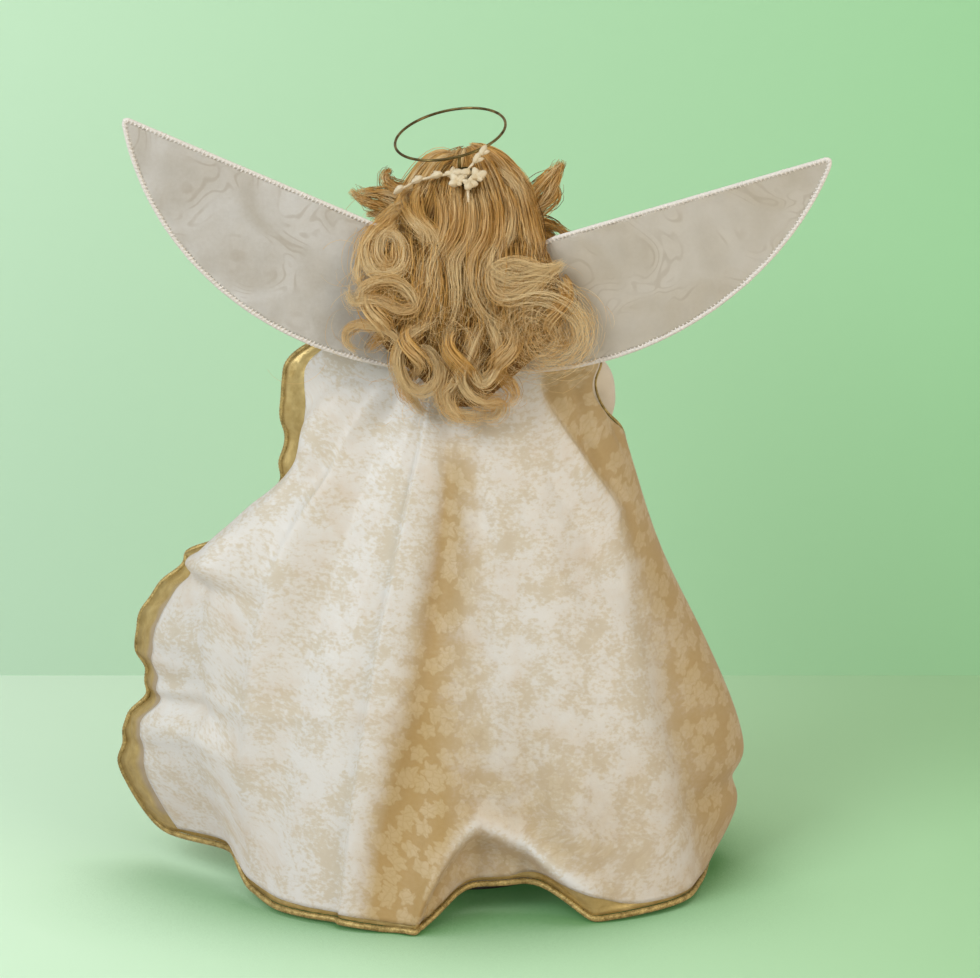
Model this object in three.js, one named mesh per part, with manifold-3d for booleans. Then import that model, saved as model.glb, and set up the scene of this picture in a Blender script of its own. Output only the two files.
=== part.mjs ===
// Angel figurine: a caped and winged cloth figure on a weighted base.
// Millimetres, +Z up. The face looks along -Y and the figure's left is +X. The base rests on z = 0.
import * as THREE from 'three';
import { mergeVertices } from 'three/addons/utils/BufferGeometryUtils.js';
import Module from 'manifold-3d';

const wasm = await Module();
wasm.setup();

// Driving dimensions

const SEAT = 0.3; // gap between pieces that rest on one another

const FELT_RADIUS = 51;
const FELT_THICKNESS = 1.5;
const BASE_RADIUS = 53;
const BASE_THICKNESS = 8;

const WAIST_HEIGHT = 200;
const CONE_FOOT_RADIUS = 46;
const CONE_WAIST_RADIUS = 20;
const CONE_WALL = 1.4;

const WAIST_HALF_WIDTH = 23;
const CHEST_HALF_WIDTH = 38;
const CHEST_HALF_DEPTH = 20;
const CHEST_SWELL = 2; // fullness of the stuffing half-way up
const BODICE_CLOTH = 1.2;
const ARM_WIRE_RADIUS = 1.5;
const ARM_WIRE_HALF_LENGTH = 44;
const ARM_DROP = 14; // of the arm wire below the shoulder plate

const SKIRT_HEM_HEIGHT = 14;
const SKIRT_CLOTH = 1.2;
const SKIRT_FOLDS = 12;
const SKIRT_BACK_FULLNESS = 6;
const SKIRT_FRONT_FULLNESS = 34;
const SKIRT_BACK_FOLD = 3;
const SKIRT_FRONT_FOLD = 8;

const NECK_HEIGHT = 292; // the cape's neck edge
const SHOULDER_HEIGHT = NECK_HEIGHT - 27; // where the cape turns from the yoke to hang
const CAPE_NECK_RADIUS = 20;
const CAPE_HALF_WIDTH = 76;
const CAPE_BACK_DEPTH = 30;
const CAPE_FRONT_DEPTH = 50;
const BORDER_TURN = 14; // how far the left border turns outward, which shows its lining band from behind
const BORDER_TURN_SPAN = 20; // degrees of cloth that turn with it
const CAPE_CLOTH = 1.2;
const LINING_CLOTH = 0.8;
const LINING_GAP = 0.4;
const LINING_BAND = 8; // lining showing past the brocade along the borders
const HEM_BAND = 2.5; // and along the hem
const CAPE_EDGE_RADIUS = 1.5;
const YOKE_SHARE = 0.16; // share of the cape's rows that lie over the shoulders
const LEFT_BORDER = 88; // degrees from straight behind, towards the figure's left
const RIGHT_BORDER_AT_NECK = -84;
const RIGHT_BORDER_AT_HEM = -124;

// Folds round the cape, from its left border to its right one. reach is the hem's distance from the neck
// axis, lift the hem's height, and belly the swell out of the straight line from shoulder to hem, which is
// widest at bellyAt of the way down. A negative belly is a valley.
const CAPE_FOLDS = [
  { angle: 90, reach: 150, lift: 15, belly: 44, bellyAt: 0.71 },
  { angle: 68, reach: 131, lift: 6, belly: 62, bellyAt: 0.42 },
  { angle: 50, reach: 127, lift: 5, belly: 16, bellyAt: 0.5 },
  { angle: 33, reach: 120, lift: 5, belly: 12, bellyAt: 0.5 },
  { angle: 13, reach: 120, lift: 5, belly: -12, bellyAt: 0.5 },
  { angle: -6, reach: 90, lift: 17, belly: 12, bellyAt: 0.5 },
  { angle: -21, reach: 92, lift: 16, belly: 16, bellyAt: 0.5 },
  { angle: -39, reach: 121, lift: 5, belly: 12, bellyAt: 0.5 },
  { angle: -62, reach: 130, lift: 5, belly: 8, bellyAt: 0.7 },
  { angle: -88, reach: 130, lift: 5, belly: 30, bellyAt: 0.75 },
  { angle: -110, reach: 116, lift: 5, belly: 4, bellyAt: 0.7 },
  { angle: -130, reach: 106, lift: 6, belly: 8, bellyAt: 0.7 },
];

const HEAD_CENTRE = new THREE.Vector3(0, -2, NECK_HEIGHT + 41);
const HEAD_RADII = new THREE.Vector3(25, 28, 33);
const JAW_DROP = 21; // jaw centre below the head centre
const JAW_FORWARD = 11;
const JAW_RADII = new THREE.Vector3(15, 15, 13);
const NOSE_RADII = new THREE.Vector3(3, 4, 5);
const NECK_RADIUS = 11;
const PLATE_UNDERSIDE = NECK_HEIGHT - 17;
const ARM_HEIGHT = PLATE_UNDERSIDE - ARM_DROP;
const PLATE_HALF_WIDTH = 40;
const PLATE_HALF_DEPTH = 21;
const NECK_BAND_WIDTH = 6;
const NECK_BAND_HEIGHT = 3;

const WIG_CAP_THICKNESS = 2.5;
const HAIR_CROWN_THICKNESS = 9.5;
const HAIR_TILT = 50; // degrees that the wig's axis leans back from straight up
const HAIR_RIM = 88; // degrees from that axis to the hairline
const HAIR_FALL_TOP = HEAD_CENTRE.z + 19;
const HAIR_FALL_BOTTOM = NECK_HEIGHT - 40;
const HAIR_FALL_THICKNESS = 13;
const HAIR_FALL_EDGE = 3;
const HAIR_FALL_START = 0.25; // thickness at its top, as a share of the thickness lower down
const HAIR_FALL_FULL = 0.4; // share of the way down where it is full
const HAIR_CLEARANCE = 0.8; // between the wings and the hair that hangs over them
// Half widths of the fall of hair, evenly spaced from its top to its bottom
const HAIR_FALL_HALF_WIDTHS = [34, 50, 58, 60, 50, 32, 14];

// Middle lines, from the head's centre, of the tufts flipped out at the temples and the locks beside the face
const LEFT_TUFT = [[30, 2, 13], [46, 0, 26], [59, -2, 25]];
const RIGHT_TUFT = [[-30, 2, 13], [-45, 0, 25], [-51, -2, 41]];
const FACE_LOCK = [[36, -2, 7], [38, -13, -11], [36, -20, -33]];
const TUFT_THICK = 10;
const TUFT_TIP = 2.5;
const FACE_LOCK_THICK = 7;
const FACE_LOCK_TIP = 3;
const LOCK_FLATTEN = 0.8; // thickness of a lock over its width

const RINGLET_RADIUS = 5; // thickness of a ringlet's lock
const RINGLET_COIL = 4.5; // how far the lock winds off its own axis
// Where each ringlet hangs, and its ends over the neck edge
const RINGLETS = [
  { name: 'ringlet_far_left', x: 44, top: 26, bottom: -8, turns: 1.2 },
  { name: 'ringlet_left', x: 26, top: 8, bottom: -34, turns: 1.5 },
  { name: 'ringlet_middle', x: 4, top: 4, bottom: -42, turns: 1.6 },
  { name: 'ringlet_right', x: -20, top: 6, bottom: -36, turns: -1.5 },
  { name: 'ringlet_far_right', x: -46, top: 30, bottom: -6, turns: -1.2 },
];

const HALO_RADIUS = 28.5;
const HALO_WIRE_RADIUS = 0.8;
const HALO_RISE = 18; // degrees that the ring rises towards the front
const HALO_ROLL = 11; // degrees that it drops towards the figure's left
const HALO_SIDE = 3; // its stem on the clip, left of the middle
const HALO_OFF = 10; // degrees round the ring from the stem to its rearmost point
const HALO_STEM_FORWARD = 3.5; // and forward of it
const HALO_STEM = 7;
const HALO_STEM_LEAN = 14; // degrees back from straight up
const SPRAY_BACK = 24; // the spray's place on the crown, behind the head's middle
const SPRAY_CLIP_RADIUS = 6;
const SPRAY_CLIP_THICKNESS = 1.5;
const SPRAY_WIRE_RADIUS = 0.7;
const SPRAY_HEIGHT = 2.6; // of the stem's wire over the clip
const BUD_RADIUS = 2;
const BUD_LENGTH = 6;
const BLOSSOM_RADIUS = 3.6;

const WING_ROOT_SIDE = 13;
const WING_ROOT_HEIGHT = NECK_HEIGHT - 6;
const WING_SWEEP = 10; // degrees back from straight out
const LEFT_WING_RAISE = 3; // degrees from the pattern's own place
const RIGHT_WING_RAISE = -3;
const WING_EDGE_RADIUS = 1.2;
const WING_PANEL = 0.5;
const BRACKET_HALF_WIDTH = 17;
const BRACKET_HEIGHT = 22;
const BRACKET_THICKNESS = 1.6;
// The wing's pattern, outward and up from its root
const WING_TIP = [160, 109];
const WING_TIP_ROUND = 4;
const WING_HEEL = [0, -14];
const WING_LOWER_BOW = [[75, -8], [140, 40]];
const WING_SHOULDER = [30, 57];
const WING_SHOULDER_BOW = [[20, 53], [8, 40]];
const WING_ROOT_TOP = [2, 20];

// The left arm from shoulder to wrist: the sleeve's middle line and its radii. The right arm is its mirror.
const SLEEVE = [
  { at: [0, 0, 0], radius: 11 },
  { at: [5, 0, 0], radius: 13 },
  { at: [17, -13, -4], radius: 15 },
  { at: [19, -22, -22], radius: 14 },
  { at: [13, -32, -40], radius: 12.5 },
  { at: [2, -47, -47], radius: 12 },
  { at: [-7, -58, -49], radius: 13.5 },
];
const CUFF_WIDTH = 5;
const CUFF_THICKNESS = 1.6;
const HAND_LENGTH = 26;
const HAND_TURN_UP = 0.35; // rise of the hand for each millimetre forward
const WRIST_RADIUS = 4.2;
const PALM_HALF_WIDTH = 6.5;
const PALM_HALF_THICKNESS = 3.2;
const THUMB_LENGTH = 9;
const THUMB_RADIUS = 1.9;

const BASE_TOP = FELT_THICKNESS + SEAT + BASE_THICKNESS;
const CONE_FOOT = BASE_TOP + SEAT;
const CLOTH_STACK = CAPE_CLOTH + LINING_GAP + LINING_CLOTH;
const BRACKET_FRONT = CAPE_BACK_DEPTH + SEAT;
const WING_PLANE = BRACKET_FRONT + BRACKET_THICKNESS + SEAT + WING_EDGE_RADIUS;

// Materials

const finish = (color, roughness, metalness = 0) =>
  new THREE.MeshStandardMaterial({ color, roughness, metalness });
const FELT = finish(0x5a5a52, 0.95);
const BASE_WHITE = finish(0xd9d8d2, 0.55);
const CARDBOARD = finish(0xb79b74, 0.9);
const MUSLIN = finish(0xe6ddcc, 0.9);
const STEEL_WIRE = finish(0x8c8c88, 0.4, 1);
const SKIN = finish(0xf0d2bd, 0.45);
const BROCADE = finish(0xe9dfcf, 0.6);
const GOLD_LAME = finish(0xc19a45, 0.35, 0.8);
const DRESS_SATIN = finish(0xefe8da, 0.5);
const ORGANZA = finish(0xd8cfc9, 0.5);
const SERGED_EDGE = finish(0xf1ece6, 0.8);
const HAIR = finish(0xb98c4e, 0.5);
const BRASS = finish(0x6f5a32, 0.4, 1);
const FLOWER_CREAM = finish(0xf1e2bd, 0.7);

// Building helpers

const RAD = Math.PI / 180;
const mix = THREE.MathUtils.lerp;
const vec = (x, y, z) => new THREE.Vector3(x, y, z);
const steps = (count) => Array.from({ length: count + 1 }, (_, i) => i / count);
const turns = (count) => Array.from({ length: count }, (_, i) => (2 * Math.PI * i) / count);

function closedGeometry(points, faces) {
  // One closed body; its faces are turned outward by the sign of the volume that they enclose.
  const cross = new THREE.Vector3();
  let volume = 0;
  for (const [a, b, c] of faces) {
    volume += points[a].dot(cross.crossVectors(points[b], points[c]));
  }
  const index = faces.flatMap(([a, b, c]) => (volume > 0 ? [a, b, c] : [a, c, b]));
  const geometry = new THREE.BufferGeometry().setFromPoints(points);
  geometry.setIndex(index);
  return geometry;
}

function ringSolid(rings, joined = false) {
  // A skin over rings of points in order. A ring of one point is a pole; joined rings close on themselves.
  const points = rings.flat();
  const starts = [];
  let total = 0;
  for (const ring of rings) {
    starts.push(total);
    total += ring.length;
  }
  const faces = [];
  const last = joined ? rings.length : rings.length - 1;
  for (let i = 0; i < last; i++) {
    const next = (i + 1) % rings.length;
    const count = Math.max(rings[i].length, rings[next].length);
    for (let j = 0; j < count; j++) {
      const k = (j + 1) % count;
      const a = starts[i] + (rings[i].length > 1 ? j : 0);
      const b = starts[i] + (rings[i].length > 1 ? k : 0);
      const c = starts[next] + (rings[next].length > 1 ? k : 0);
      const d = starts[next] + (rings[next].length > 1 ? j : 0);
      if (a !== b) faces.push([a, b, c]);
      if (c !== d) faces.push([a, c, d]);
    }
  }
  return closedGeometry(points, faces);
}

function capped(rings) {
  // The same rings with a flat end over the first and the last.
  const middle = (ring) =>
    ring.reduce((sum, p) => sum.add(p), new THREE.Vector3()).divideScalar(ring.length);
  return [[middle(rings[0])], ...rings, [middle(rings.at(-1))]];
}

function sheetSolid(outer, inner) {
  // A sheet between two grids of points of the same rows and columns.
  const rows = outer.length;
  const columns = outer[0].length;
  const points = [...outer.flat(), ...inner.flat()];
  const far = rows * columns;
  const at = (row, column) => row * columns + column;
  const faces = [];
  const quad = (a, b, c, d) => faces.push([a, b, c], [a, c, d]);
  for (let i = 0; i < rows - 1; i++) {
    for (let j = 0; j < columns - 1; j++) {
      const [a, b, c, d] = [at(i, j), at(i + 1, j), at(i + 1, j + 1), at(i, j + 1)];
      quad(a, b, c, d);
      quad(far + a, far + d, far + c, far + b);
    }
    const [left, below] = [at(i, 0), at(i + 1, 0)];
    quad(left, far + left, far + below, below);
    const [right, under] = [at(i, columns - 1), at(i + 1, columns - 1)];
    quad(right, under, far + under, far + right);
  }
  for (let j = 0; j < columns - 1; j++) {
    const [top, beside] = [at(0, j), at(0, j + 1)];
    quad(top, beside, far + beside, far + top);
    const [low, next] = [at(rows - 1, j), at(rows - 1, j + 1)];
    quad(low, far + low, far + next, next);
  }
  return closedGeometry(points, faces);
}

function tubeRings(points, radiusAt, sides, loop = false, flatten = 1) {
  // Rings round a line of points. Their frames are carried along the line without twist.
  const count = points.length;
  const tangents = points.map((point, i) => {
    const before = points[loop ? (i + count - 1) % count : Math.max(i - 1, 0)];
    const after = points[loop ? (i + 1) % count : Math.min(i + 1, count - 1)];
    return after.clone().sub(before).normalize();
  });
  const upright = Math.abs(tangents[0].z) > 0.9 ? vec(0, 1, 0) : vec(0, 0, 1);
  let side = upright.cross(tangents[0]).normalize();
  return points.map((point, i) => {
    side = side.clone().addScaledVector(tangents[i], -side.dot(tangents[i])).normalize();
    const other = tangents[i].clone().cross(side);
    const radius = radiusAt(i / (count - 1));
    return turns(sides).map((angle) =>
      point.clone()
        .addScaledVector(side, radius * Math.cos(angle))
        .addScaledVector(other, radius * flatten * Math.sin(angle)));
  });
}

const tube = (points, radius, sides) => ringSolid(capped(tubeRings(points, () => radius, sides)));

function ellipsoid(centre, radii, round, tall) {
  const geometry = new THREE.SphereGeometry(1, round, tall);
  geometry.rotateX(Math.PI / 2);
  geometry.scale(radii.x, radii.y, radii.z);
  return geometry.translate(centre.x, centre.y, centre.z);
}

function cylinder(radius, from, to, sides) {
  return tube([from, to], radius, sides);
}

function toSolid(geometry) {
  const plain = geometry.clone();
  plain.deleteAttribute('normal');
  plain.deleteAttribute('uv');
  const merged = mergeVertices(plain, 1e-4);
  return new wasm.Manifold(new wasm.Mesh({
    numProp: 3,
    vertProperties: new Float32Array(merged.attributes.position.array),
    triVerts: new Uint32Array(merged.index.array),
  }));
}

function fromSolid(solid) {
  const mesh = solid.getMesh();
  const geometry = new THREE.BufferGeometry();
  geometry.setAttribute('position', new THREE.BufferAttribute(mesh.vertProperties, 3));
  geometry.setIndex(new THREE.BufferAttribute(mesh.triVerts, 1));
  return geometry;
}

const joined = (first, ...others) =>
  fromSolid(others.reduce((solid, next) => solid.add(toSolid(next)), toSolid(first)));
const cut = (first, ...others) =>
  fromSolid(others.reduce((solid, next) => solid.subtract(toSolid(next)), toSolid(first)));
const common = (first, second) => fromSolid(toSolid(first).intersect(toSolid(second)));

const figure = new THREE.Group();

function place(name, geometry, material) {
  const mesh = new THREE.Mesh(geometry, material);
  mesh.name = name;
  figure.add(mesh);
  return mesh;
}

function ellipseRing(halfWidth, halfDepth, z, count) {
  return turns(count).map((angle) => vec(halfWidth * Math.cos(angle), halfDepth * Math.sin(angle), z));
}

// Base, cone and stuffed body

const ROUND = 32;

function disc(radius, low, high) {
  return ringSolid(capped([low, high].map((z) => ellipseRing(radius, radius, z, ROUND))));
}

function coneRadius(z) {
  return mix(CONE_FOOT_RADIUS, CONE_WAIST_RADIUS, (z - CONE_FOOT) / (WAIST_HEIGHT - CONE_FOOT));
}

function bodyCone() {
  const ring = (z, radius) => ellipseRing(radius, radius, z, ROUND);
  return ringSolid([
    ring(CONE_FOOT, CONE_FOOT_RADIUS),
    ring(WAIST_HEIGHT, CONE_WAIST_RADIUS),
    ring(WAIST_HEIGHT, CONE_WAIST_RADIUS - CONE_WALL),
    ring(CONE_FOOT, CONE_FOOT_RADIUS - CONE_WALL),
  ], true);
}

const TORSO_LOW = WAIST_HEIGHT + SEAT;
const TORSO_HIGH = PLATE_UNDERSIDE - SEAT;

function torsoRing(share, outset) {
  // The stuffed body widens from the waist to the chest and swells half-way.
  const eased = THREE.MathUtils.smoothstep(share, 0, 1);
  const swell = CHEST_SWELL * Math.sin(Math.PI * share) + outset;
  const waistDepth = Math.min(WAIST_HALF_WIDTH, CHEST_HALF_DEPTH);
  return ellipseRing(
    mix(WAIST_HALF_WIDTH, CHEST_HALF_WIDTH, eased) + swell,
    mix(waistDepth, CHEST_HALF_DEPTH, eased) + swell,
    mix(TORSO_LOW, TORSO_HIGH, share),
    24,
  );
}

const armBore = (clearance) =>
  cylinder(
    ARM_WIRE_RADIUS + clearance,
    vec(-CHEST_HALF_WIDTH * 2, 0, ARM_HEIGHT),
    vec(CHEST_HALF_WIDTH * 2, 0, ARM_HEIGHT),
    10,
  );

// The bodice follows the same rings as the stuffing, so that the two stay parallel.
const torsoRings = (outset) => steps(5).map((share) => torsoRing(share, outset));

function torso() {
  return cut(ringSolid(capped(torsoRings(0))), armBore(SEAT));
}

function bodice() {
  const shell = ringSolid([...torsoRings(SEAT + BODICE_CLOTH), ...torsoRings(SEAT).reverse()], true);
  return cut(shell, armBore(SEAT));
}

function skirtRing(share, outset) {
  const z = mix(WAIST_HEIGHT - SEAT, SKIRT_HEM_HEIGHT, share);
  return turns(4 * SKIRT_FOLDS).map((angle) => {
    const front = (1 - Math.sin(angle)) / 2;
    const full = mix(SKIRT_BACK_FULLNESS, SKIRT_FRONT_FULLNESS, front);
    const fold = mix(SKIRT_BACK_FOLD, SKIRT_FRONT_FOLD, front) * Math.cos(SKIRT_FOLDS * angle);
    const radius = coneRadius(z) + SEAT + share * (full + fold) + outset;
    return vec(radius * Math.cos(angle), radius * Math.sin(angle), z);
  });
}

function skirt() {
  const outer = steps(4).map((share) => skirtRing(share, SKIRT_CLOTH));
  const inner = steps(4).map((share) => skirtRing(share, 0)).reverse();
  return ringSolid([...outer, ...inner], true);
}

place('felt_pad', disc(FELT_RADIUS, 0, FELT_THICKNESS), FELT);
place('base_disc', disc(BASE_RADIUS, FELT_THICKNESS + SEAT, BASE_TOP), BASE_WHITE);
place('body_cone', bodyCone(), CARDBOARD);
place('torso', torso(), MUSLIN);
place('arm_wire', cylinder(
  ARM_WIRE_RADIUS,
  vec(-ARM_WIRE_HALF_LENGTH, 0, ARM_HEIGHT),
  vec(ARM_WIRE_HALF_LENGTH, 0, ARM_HEIGHT),
  10,
), STEEL_WIRE);
place('bodice', bodice(), DRESS_SATIN);
place('skirt', skirt(), DRESS_SATIN);

// Cape: a yoke over the shoulders, then cloth that hangs to the hem in folds

function foldAt(angle) {
  // The fold at an angle, eased between the two folds on either side of it.
  let i = 0;
  while (i < CAPE_FOLDS.length - 2 && angle < CAPE_FOLDS[i + 1].angle) i++;
  const [left, right] = [CAPE_FOLDS[i], CAPE_FOLDS[i + 1]];
  const ease = THREE.MathUtils.smoothstep(angle, right.angle, left.angle);
  const between = (key) => mix(right[key], left[key], ease);
  return Object.fromEntries(['reach', 'lift', 'belly', 'bellyAt'].map((key) => [key, between(key)]));
}

function capeSurface(angle, v) {
  // v runs from the neck edge, 0, over the shoulder to the hem, 1.
  const fold = foldAt(angle);
  const [across, back] = [Math.sin(angle * RAD), Math.cos(angle * RAD)];
  const depth = back > 0 ? CAPE_BACK_DEPTH : CAPE_FRONT_DEPTH;
  const shoulder = 1 / Math.hypot(across / CAPE_HALF_WIDTH, back / depth);
  const nearBorder = Math.max(0, 1 - (LEFT_BORDER - angle) / BORDER_TURN_SPAN);
  const turnOut = BORDER_TURN * Math.min(nearBorder, 1) ** 2;
  let [radius, z] = [0, 0];
  if (v < YOKE_SHARE) {
    const quarter = (v / YOKE_SHARE) * (Math.PI / 2);
    radius = mix(CAPE_NECK_RADIUS, shoulder + turnOut, Math.sin(quarter));
    z = mix(SHOULDER_HEIGHT, NECK_HEIGHT, Math.cos(quarter));
  } else {
    const fall = (v - YOKE_SHARE) / (1 - YOKE_SHARE);
    const swell = Math.sin(Math.PI * fall ** (Math.log(0.5) / Math.log(fold.bellyAt)));
    radius = mix(shoulder, fold.reach, fall) + fold.belly * swell + turnOut;
    z = mix(SHOULDER_HEIGHT, fold.lift, fall);
  }
  return vec(radius * across, radius * back, z);
}

function capePoint(angle, v, inset) {
  // A point of the cape's outer face, moved in along the cloth's normal.
  const nudge = 1e-3;
  const across = capeSurface(angle - 90 * nudge, v).sub(capeSurface(angle + 90 * nudge, v));
  const down = capeSurface(angle, Math.min(v + nudge, 1)).sub(capeSurface(angle, Math.max(v - nudge, 0)));
  const outward = down.cross(across).normalize();
  return capeSurface(angle, v).addScaledVector(outward, -inset);
}

const rightBorder = (v) => mix(RIGHT_BORDER_AT_NECK, RIGHT_BORDER_AT_HEM, v);
const capeReach = (angle, v) => Math.hypot(capeSurface(angle, v).x, capeSurface(angle, v).y);
const bandAngle = (angle, v) => LINING_BAND / capeReach(angle, v) / RAD;

const CAPE_COLUMNS = 28;
const YOKE_ROWS = 3;
const HANG_ROWS = 9;
const hemBand = ((1 - YOKE_SHARE) * HEM_BAND) / SHOULDER_HEIGHT;
const brocadeRows = [
  ...steps(YOKE_ROWS).map((share) => share * YOKE_SHARE),
  ...steps(HANG_ROWS).slice(1).map((share) => mix(YOKE_SHARE, 1 - hemBand, share)),
];
const liningRows = [...brocadeRows, 1];

function brocadeAngles(v) {
  const left = LEFT_BORDER - bandAngle(LEFT_BORDER, v);
  const right = rightBorder(v) + bandAngle(rightBorder(v), v);
  return steps(CAPE_COLUMNS).map((share) => mix(left, right, share));
}

const liningAngles = (v) => [LEFT_BORDER, ...brocadeAngles(v), rightBorder(v)];

function capeSheet(rows, anglesAt, inset, thickness) {
  const layer = (depth) => rows.map((v) => anglesAt(v).map((angle) => capePoint(angle, v, depth)));
  return sheetSolid(layer(inset), layer(inset + thickness));
}

function capeEdge() {
  // The rolled edge runs down the left border, along the hem and up the right border, just past the lining
  // and level with its inner face.
  const middle = CLOTH_STACK - CAPE_EDGE_RADIUS;
  const grid = liningRows.map((v) => liningAngles(v).map((angle) => capePoint(angle, v, middle)));
  const past = (border, inside) =>
    border.clone().addScaledVector(border.clone().sub(inside).normalize(), CAPE_EDGE_RADIUS + SEAT);
  const corner = (border, beside, above) => past(border, beside).add(past(border, above)).sub(border);
  const hem = grid.at(-1);
  const above = grid.at(-2);
  const line = [
    ...grid.slice(0, -1).map((row) => past(row[0], row[1])),
    corner(hem[0], hem[1], above[0]),
    ...hem.slice(1, -1).map((point, j) => past(point, above[j + 1])),
    corner(hem.at(-1), hem.at(-2), above.at(-1)),
    ...grid.slice(0, -1).reverse().map((row) => past(row.at(-1), row.at(-2))),
  ];
  return tube(line, CAPE_EDGE_RADIUS, 5);
}

place('cape', capeSheet(brocadeRows, brocadeAngles, 0, CAPE_CLOTH), BROCADE);
place('cape_lining', capeSheet(liningRows, liningAngles, CAPE_CLOTH + LINING_GAP, LINING_CLOTH), GOLD_LAME);
place('cape_edge', capeEdge(), GOLD_LAME);

// Head: one casting of head, neck and shoulder plate, whose top lies just under the cape's yoke

const HEAD_ROUND = 20;
const HEAD_TALL = 12;

function shoulderPlate() {
  const inset = CLOTH_STACK + SEAT;
  const rim = (v) => turns(24).map((turn) => capePoint(turn / RAD - 180, v, inset));
  const rings = [0, 0.4, 0.8].map((share) => rim(share * YOKE_SHARE));
  const under = rings.at(-1).map((p) => vec(p.x, p.y, PLATE_UNDERSIDE));
  const dome = ringSolid(capped([...rings, under]));
  const oval = ringSolid(capped([PLATE_UNDERSIDE, NECK_HEIGHT].map(
    (z) => ellipseRing(PLATE_HALF_WIDTH, PLATE_HALF_DEPTH, z, 24))));
  return common(dome, oval);
}

function shoulderHead() {
  const jaw = HEAD_CENTRE.clone().add(vec(0, -JAW_FORWARD, -JAW_DROP));
  const nose = HEAD_CENTRE.clone().add(vec(0, -HEAD_RADII.y, -HEAD_RADII.z / 6));
  const neckFoot = vec(0, 0, PLATE_UNDERSIDE + 1);
  const neckTop = vec(0, HEAD_CENTRE.y / 2, HEAD_CENTRE.z - HEAD_RADII.z / 2);
  return joined(
    ellipsoid(HEAD_CENTRE, HEAD_RADII, HEAD_ROUND, HEAD_TALL),
    ellipsoid(jaw, JAW_RADII, 14, 8),
    ellipsoid(nose, NOSE_RADII, 8, 6),
    cylinder(NECK_RADIUS, neckFoot, neckTop, 16),
    shoulderPlate(),
  );
}

function neckBand() {
  const ring = (radius, z) => ellipseRing(radius, radius, z, 24);
  // It lies over the rolled edge, which stands a little proud of the brocade.
  const low = NECK_HEIGHT + 2 * CAPE_EDGE_RADIUS - CLOTH_STACK + SEAT;
  const high = low + NECK_BAND_HEIGHT;
  const [near, far] = [CAPE_NECK_RADIUS - NECK_BAND_WIDTH / 2, CAPE_NECK_RADIUS + NECK_BAND_WIDTH / 2];
  return ringSolid([ring(near, low), ring(far, low), ring(far, high), ring(near, high)], true);
}

place('shoulder_head', shoulderHead(), SKIN);
place('neck_band', neckBand(), GOLD_LAME);

// Wig: a cap on the scalp, crown hair over it, the fall behind, tufts, face locks and ringlets

const grown = (radii, by) => radii.clone().addScalar(by);

function domeRing(radii, fromAxis) {
  // A ring on an ellipsoid round the head, at an angle from the wig's leaning axis.
  const lean = new THREE.Matrix4().makeRotationX(-HAIR_TILT * RAD);
  return turns(16).map((turn) => {
    const [sin, cos] = [Math.sin(fromAxis * RAD), Math.cos(fromAxis * RAD)];
    const direction = vec(sin * Math.cos(turn), sin * Math.sin(turn), cos).applyMatrix4(lean);
    return direction.multiply(radii).add(HEAD_CENTRE);
  });
}

function domeShell(inner, outer) {
  const levels = steps(6).slice(1).map((share) => share * HAIR_RIM);
  const pole = (radii) => [domeRing(radii, 0)[0]];
  return ringSolid([
    pole(outer),
    ...levels.map((level) => domeRing(outer, level)),
    ...levels.slice().reverse().map((level) => domeRing(inner, level)),
    pole(inner),
  ]);
}

const CAP_INNER = grown(HEAD_RADII, SEAT);
const CAP_OUTER = grown(CAP_INNER, WIG_CAP_THICKNESS);
const CROWN_INNER = grown(CAP_OUTER, SEAT);
const CROWN_OUTER = grown(CROWN_INNER, HAIR_CROWN_THICKNESS);
const crownSpace = () => ellipsoid(HEAD_CENTRE, grown(CROWN_OUTER, SEAT), 32, 20);

function fallFront(x) {
  // Front of the hanging hair: just behind the swept wings.
  const out = Math.max(Math.abs(x) - WING_ROOT_SIDE, 0);
  return WING_PLANE + WING_EDGE_RADIUS + HAIR_CLEARANCE + out * Math.tan(WING_SWEEP * RAD);
}

function fallHalfWidth(share) {
  const place = share * (HAIR_FALL_HALF_WIDTHS.length - 1);
  const i = Math.min(Math.floor(place), HAIR_FALL_HALF_WIDTHS.length - 2);
  return mix(HAIR_FALL_HALF_WIDTHS[i], HAIR_FALL_HALF_WIDTHS[i + 1], place - i);
}

function fallThickness(side, share) {
  // Thin at the sides, and at the top where it comes out from under the crown hair.
  const across = HAIR_FALL_EDGE + (HAIR_FALL_THICKNESS - HAIR_FALL_EDGE) * Math.sqrt(1 - side * side);
  return across * mix(HAIR_FALL_START, 1, THREE.MathUtils.smoothstep(share, 0, HAIR_FALL_FULL));
}

function fallRear(x, z) {
  // Rear of the hanging hair; past its sides and its end, the front goes on.
  const share = (HAIR_FALL_TOP - z) / (HAIR_FALL_TOP - HAIR_FALL_BOTTOM);
  if (share > 1) return fallFront(x);
  const side = x / fallHalfWidth(share);
  return fallFront(x) + (Math.abs(side) < 1 ? fallThickness(side, share) : 0);
}

function hairFall() {
  const grid = (rear) => steps(10).map((share) => steps(10).map((column) => {
    const side = 2 * column - 1;
    const x = fallHalfWidth(share) * side;
    const y = fallFront(x) + (rear ? fallThickness(side, share) : 0);
    return vec(x, y, mix(HAIR_FALL_TOP, HAIR_FALL_BOTTOM, share));
  }));
  return cut(sheetSolid(grid(true), grid(false)), crownSpace());
}

function lock(line, thick, thin, flatten) {
  // A lock of hair along a smooth line, thick at its middle and thin at its end.
  const points = new THREE.CatmullRomCurve3(line.map((point) => vec(...point).add(HEAD_CENTRE))).getPoints(8);
  const radiusAt = (share) => mix(thick, thin, share * share);
  return ringSolid(capped(tubeRings(points, radiusAt, 8, false, flatten)));
}

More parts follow.
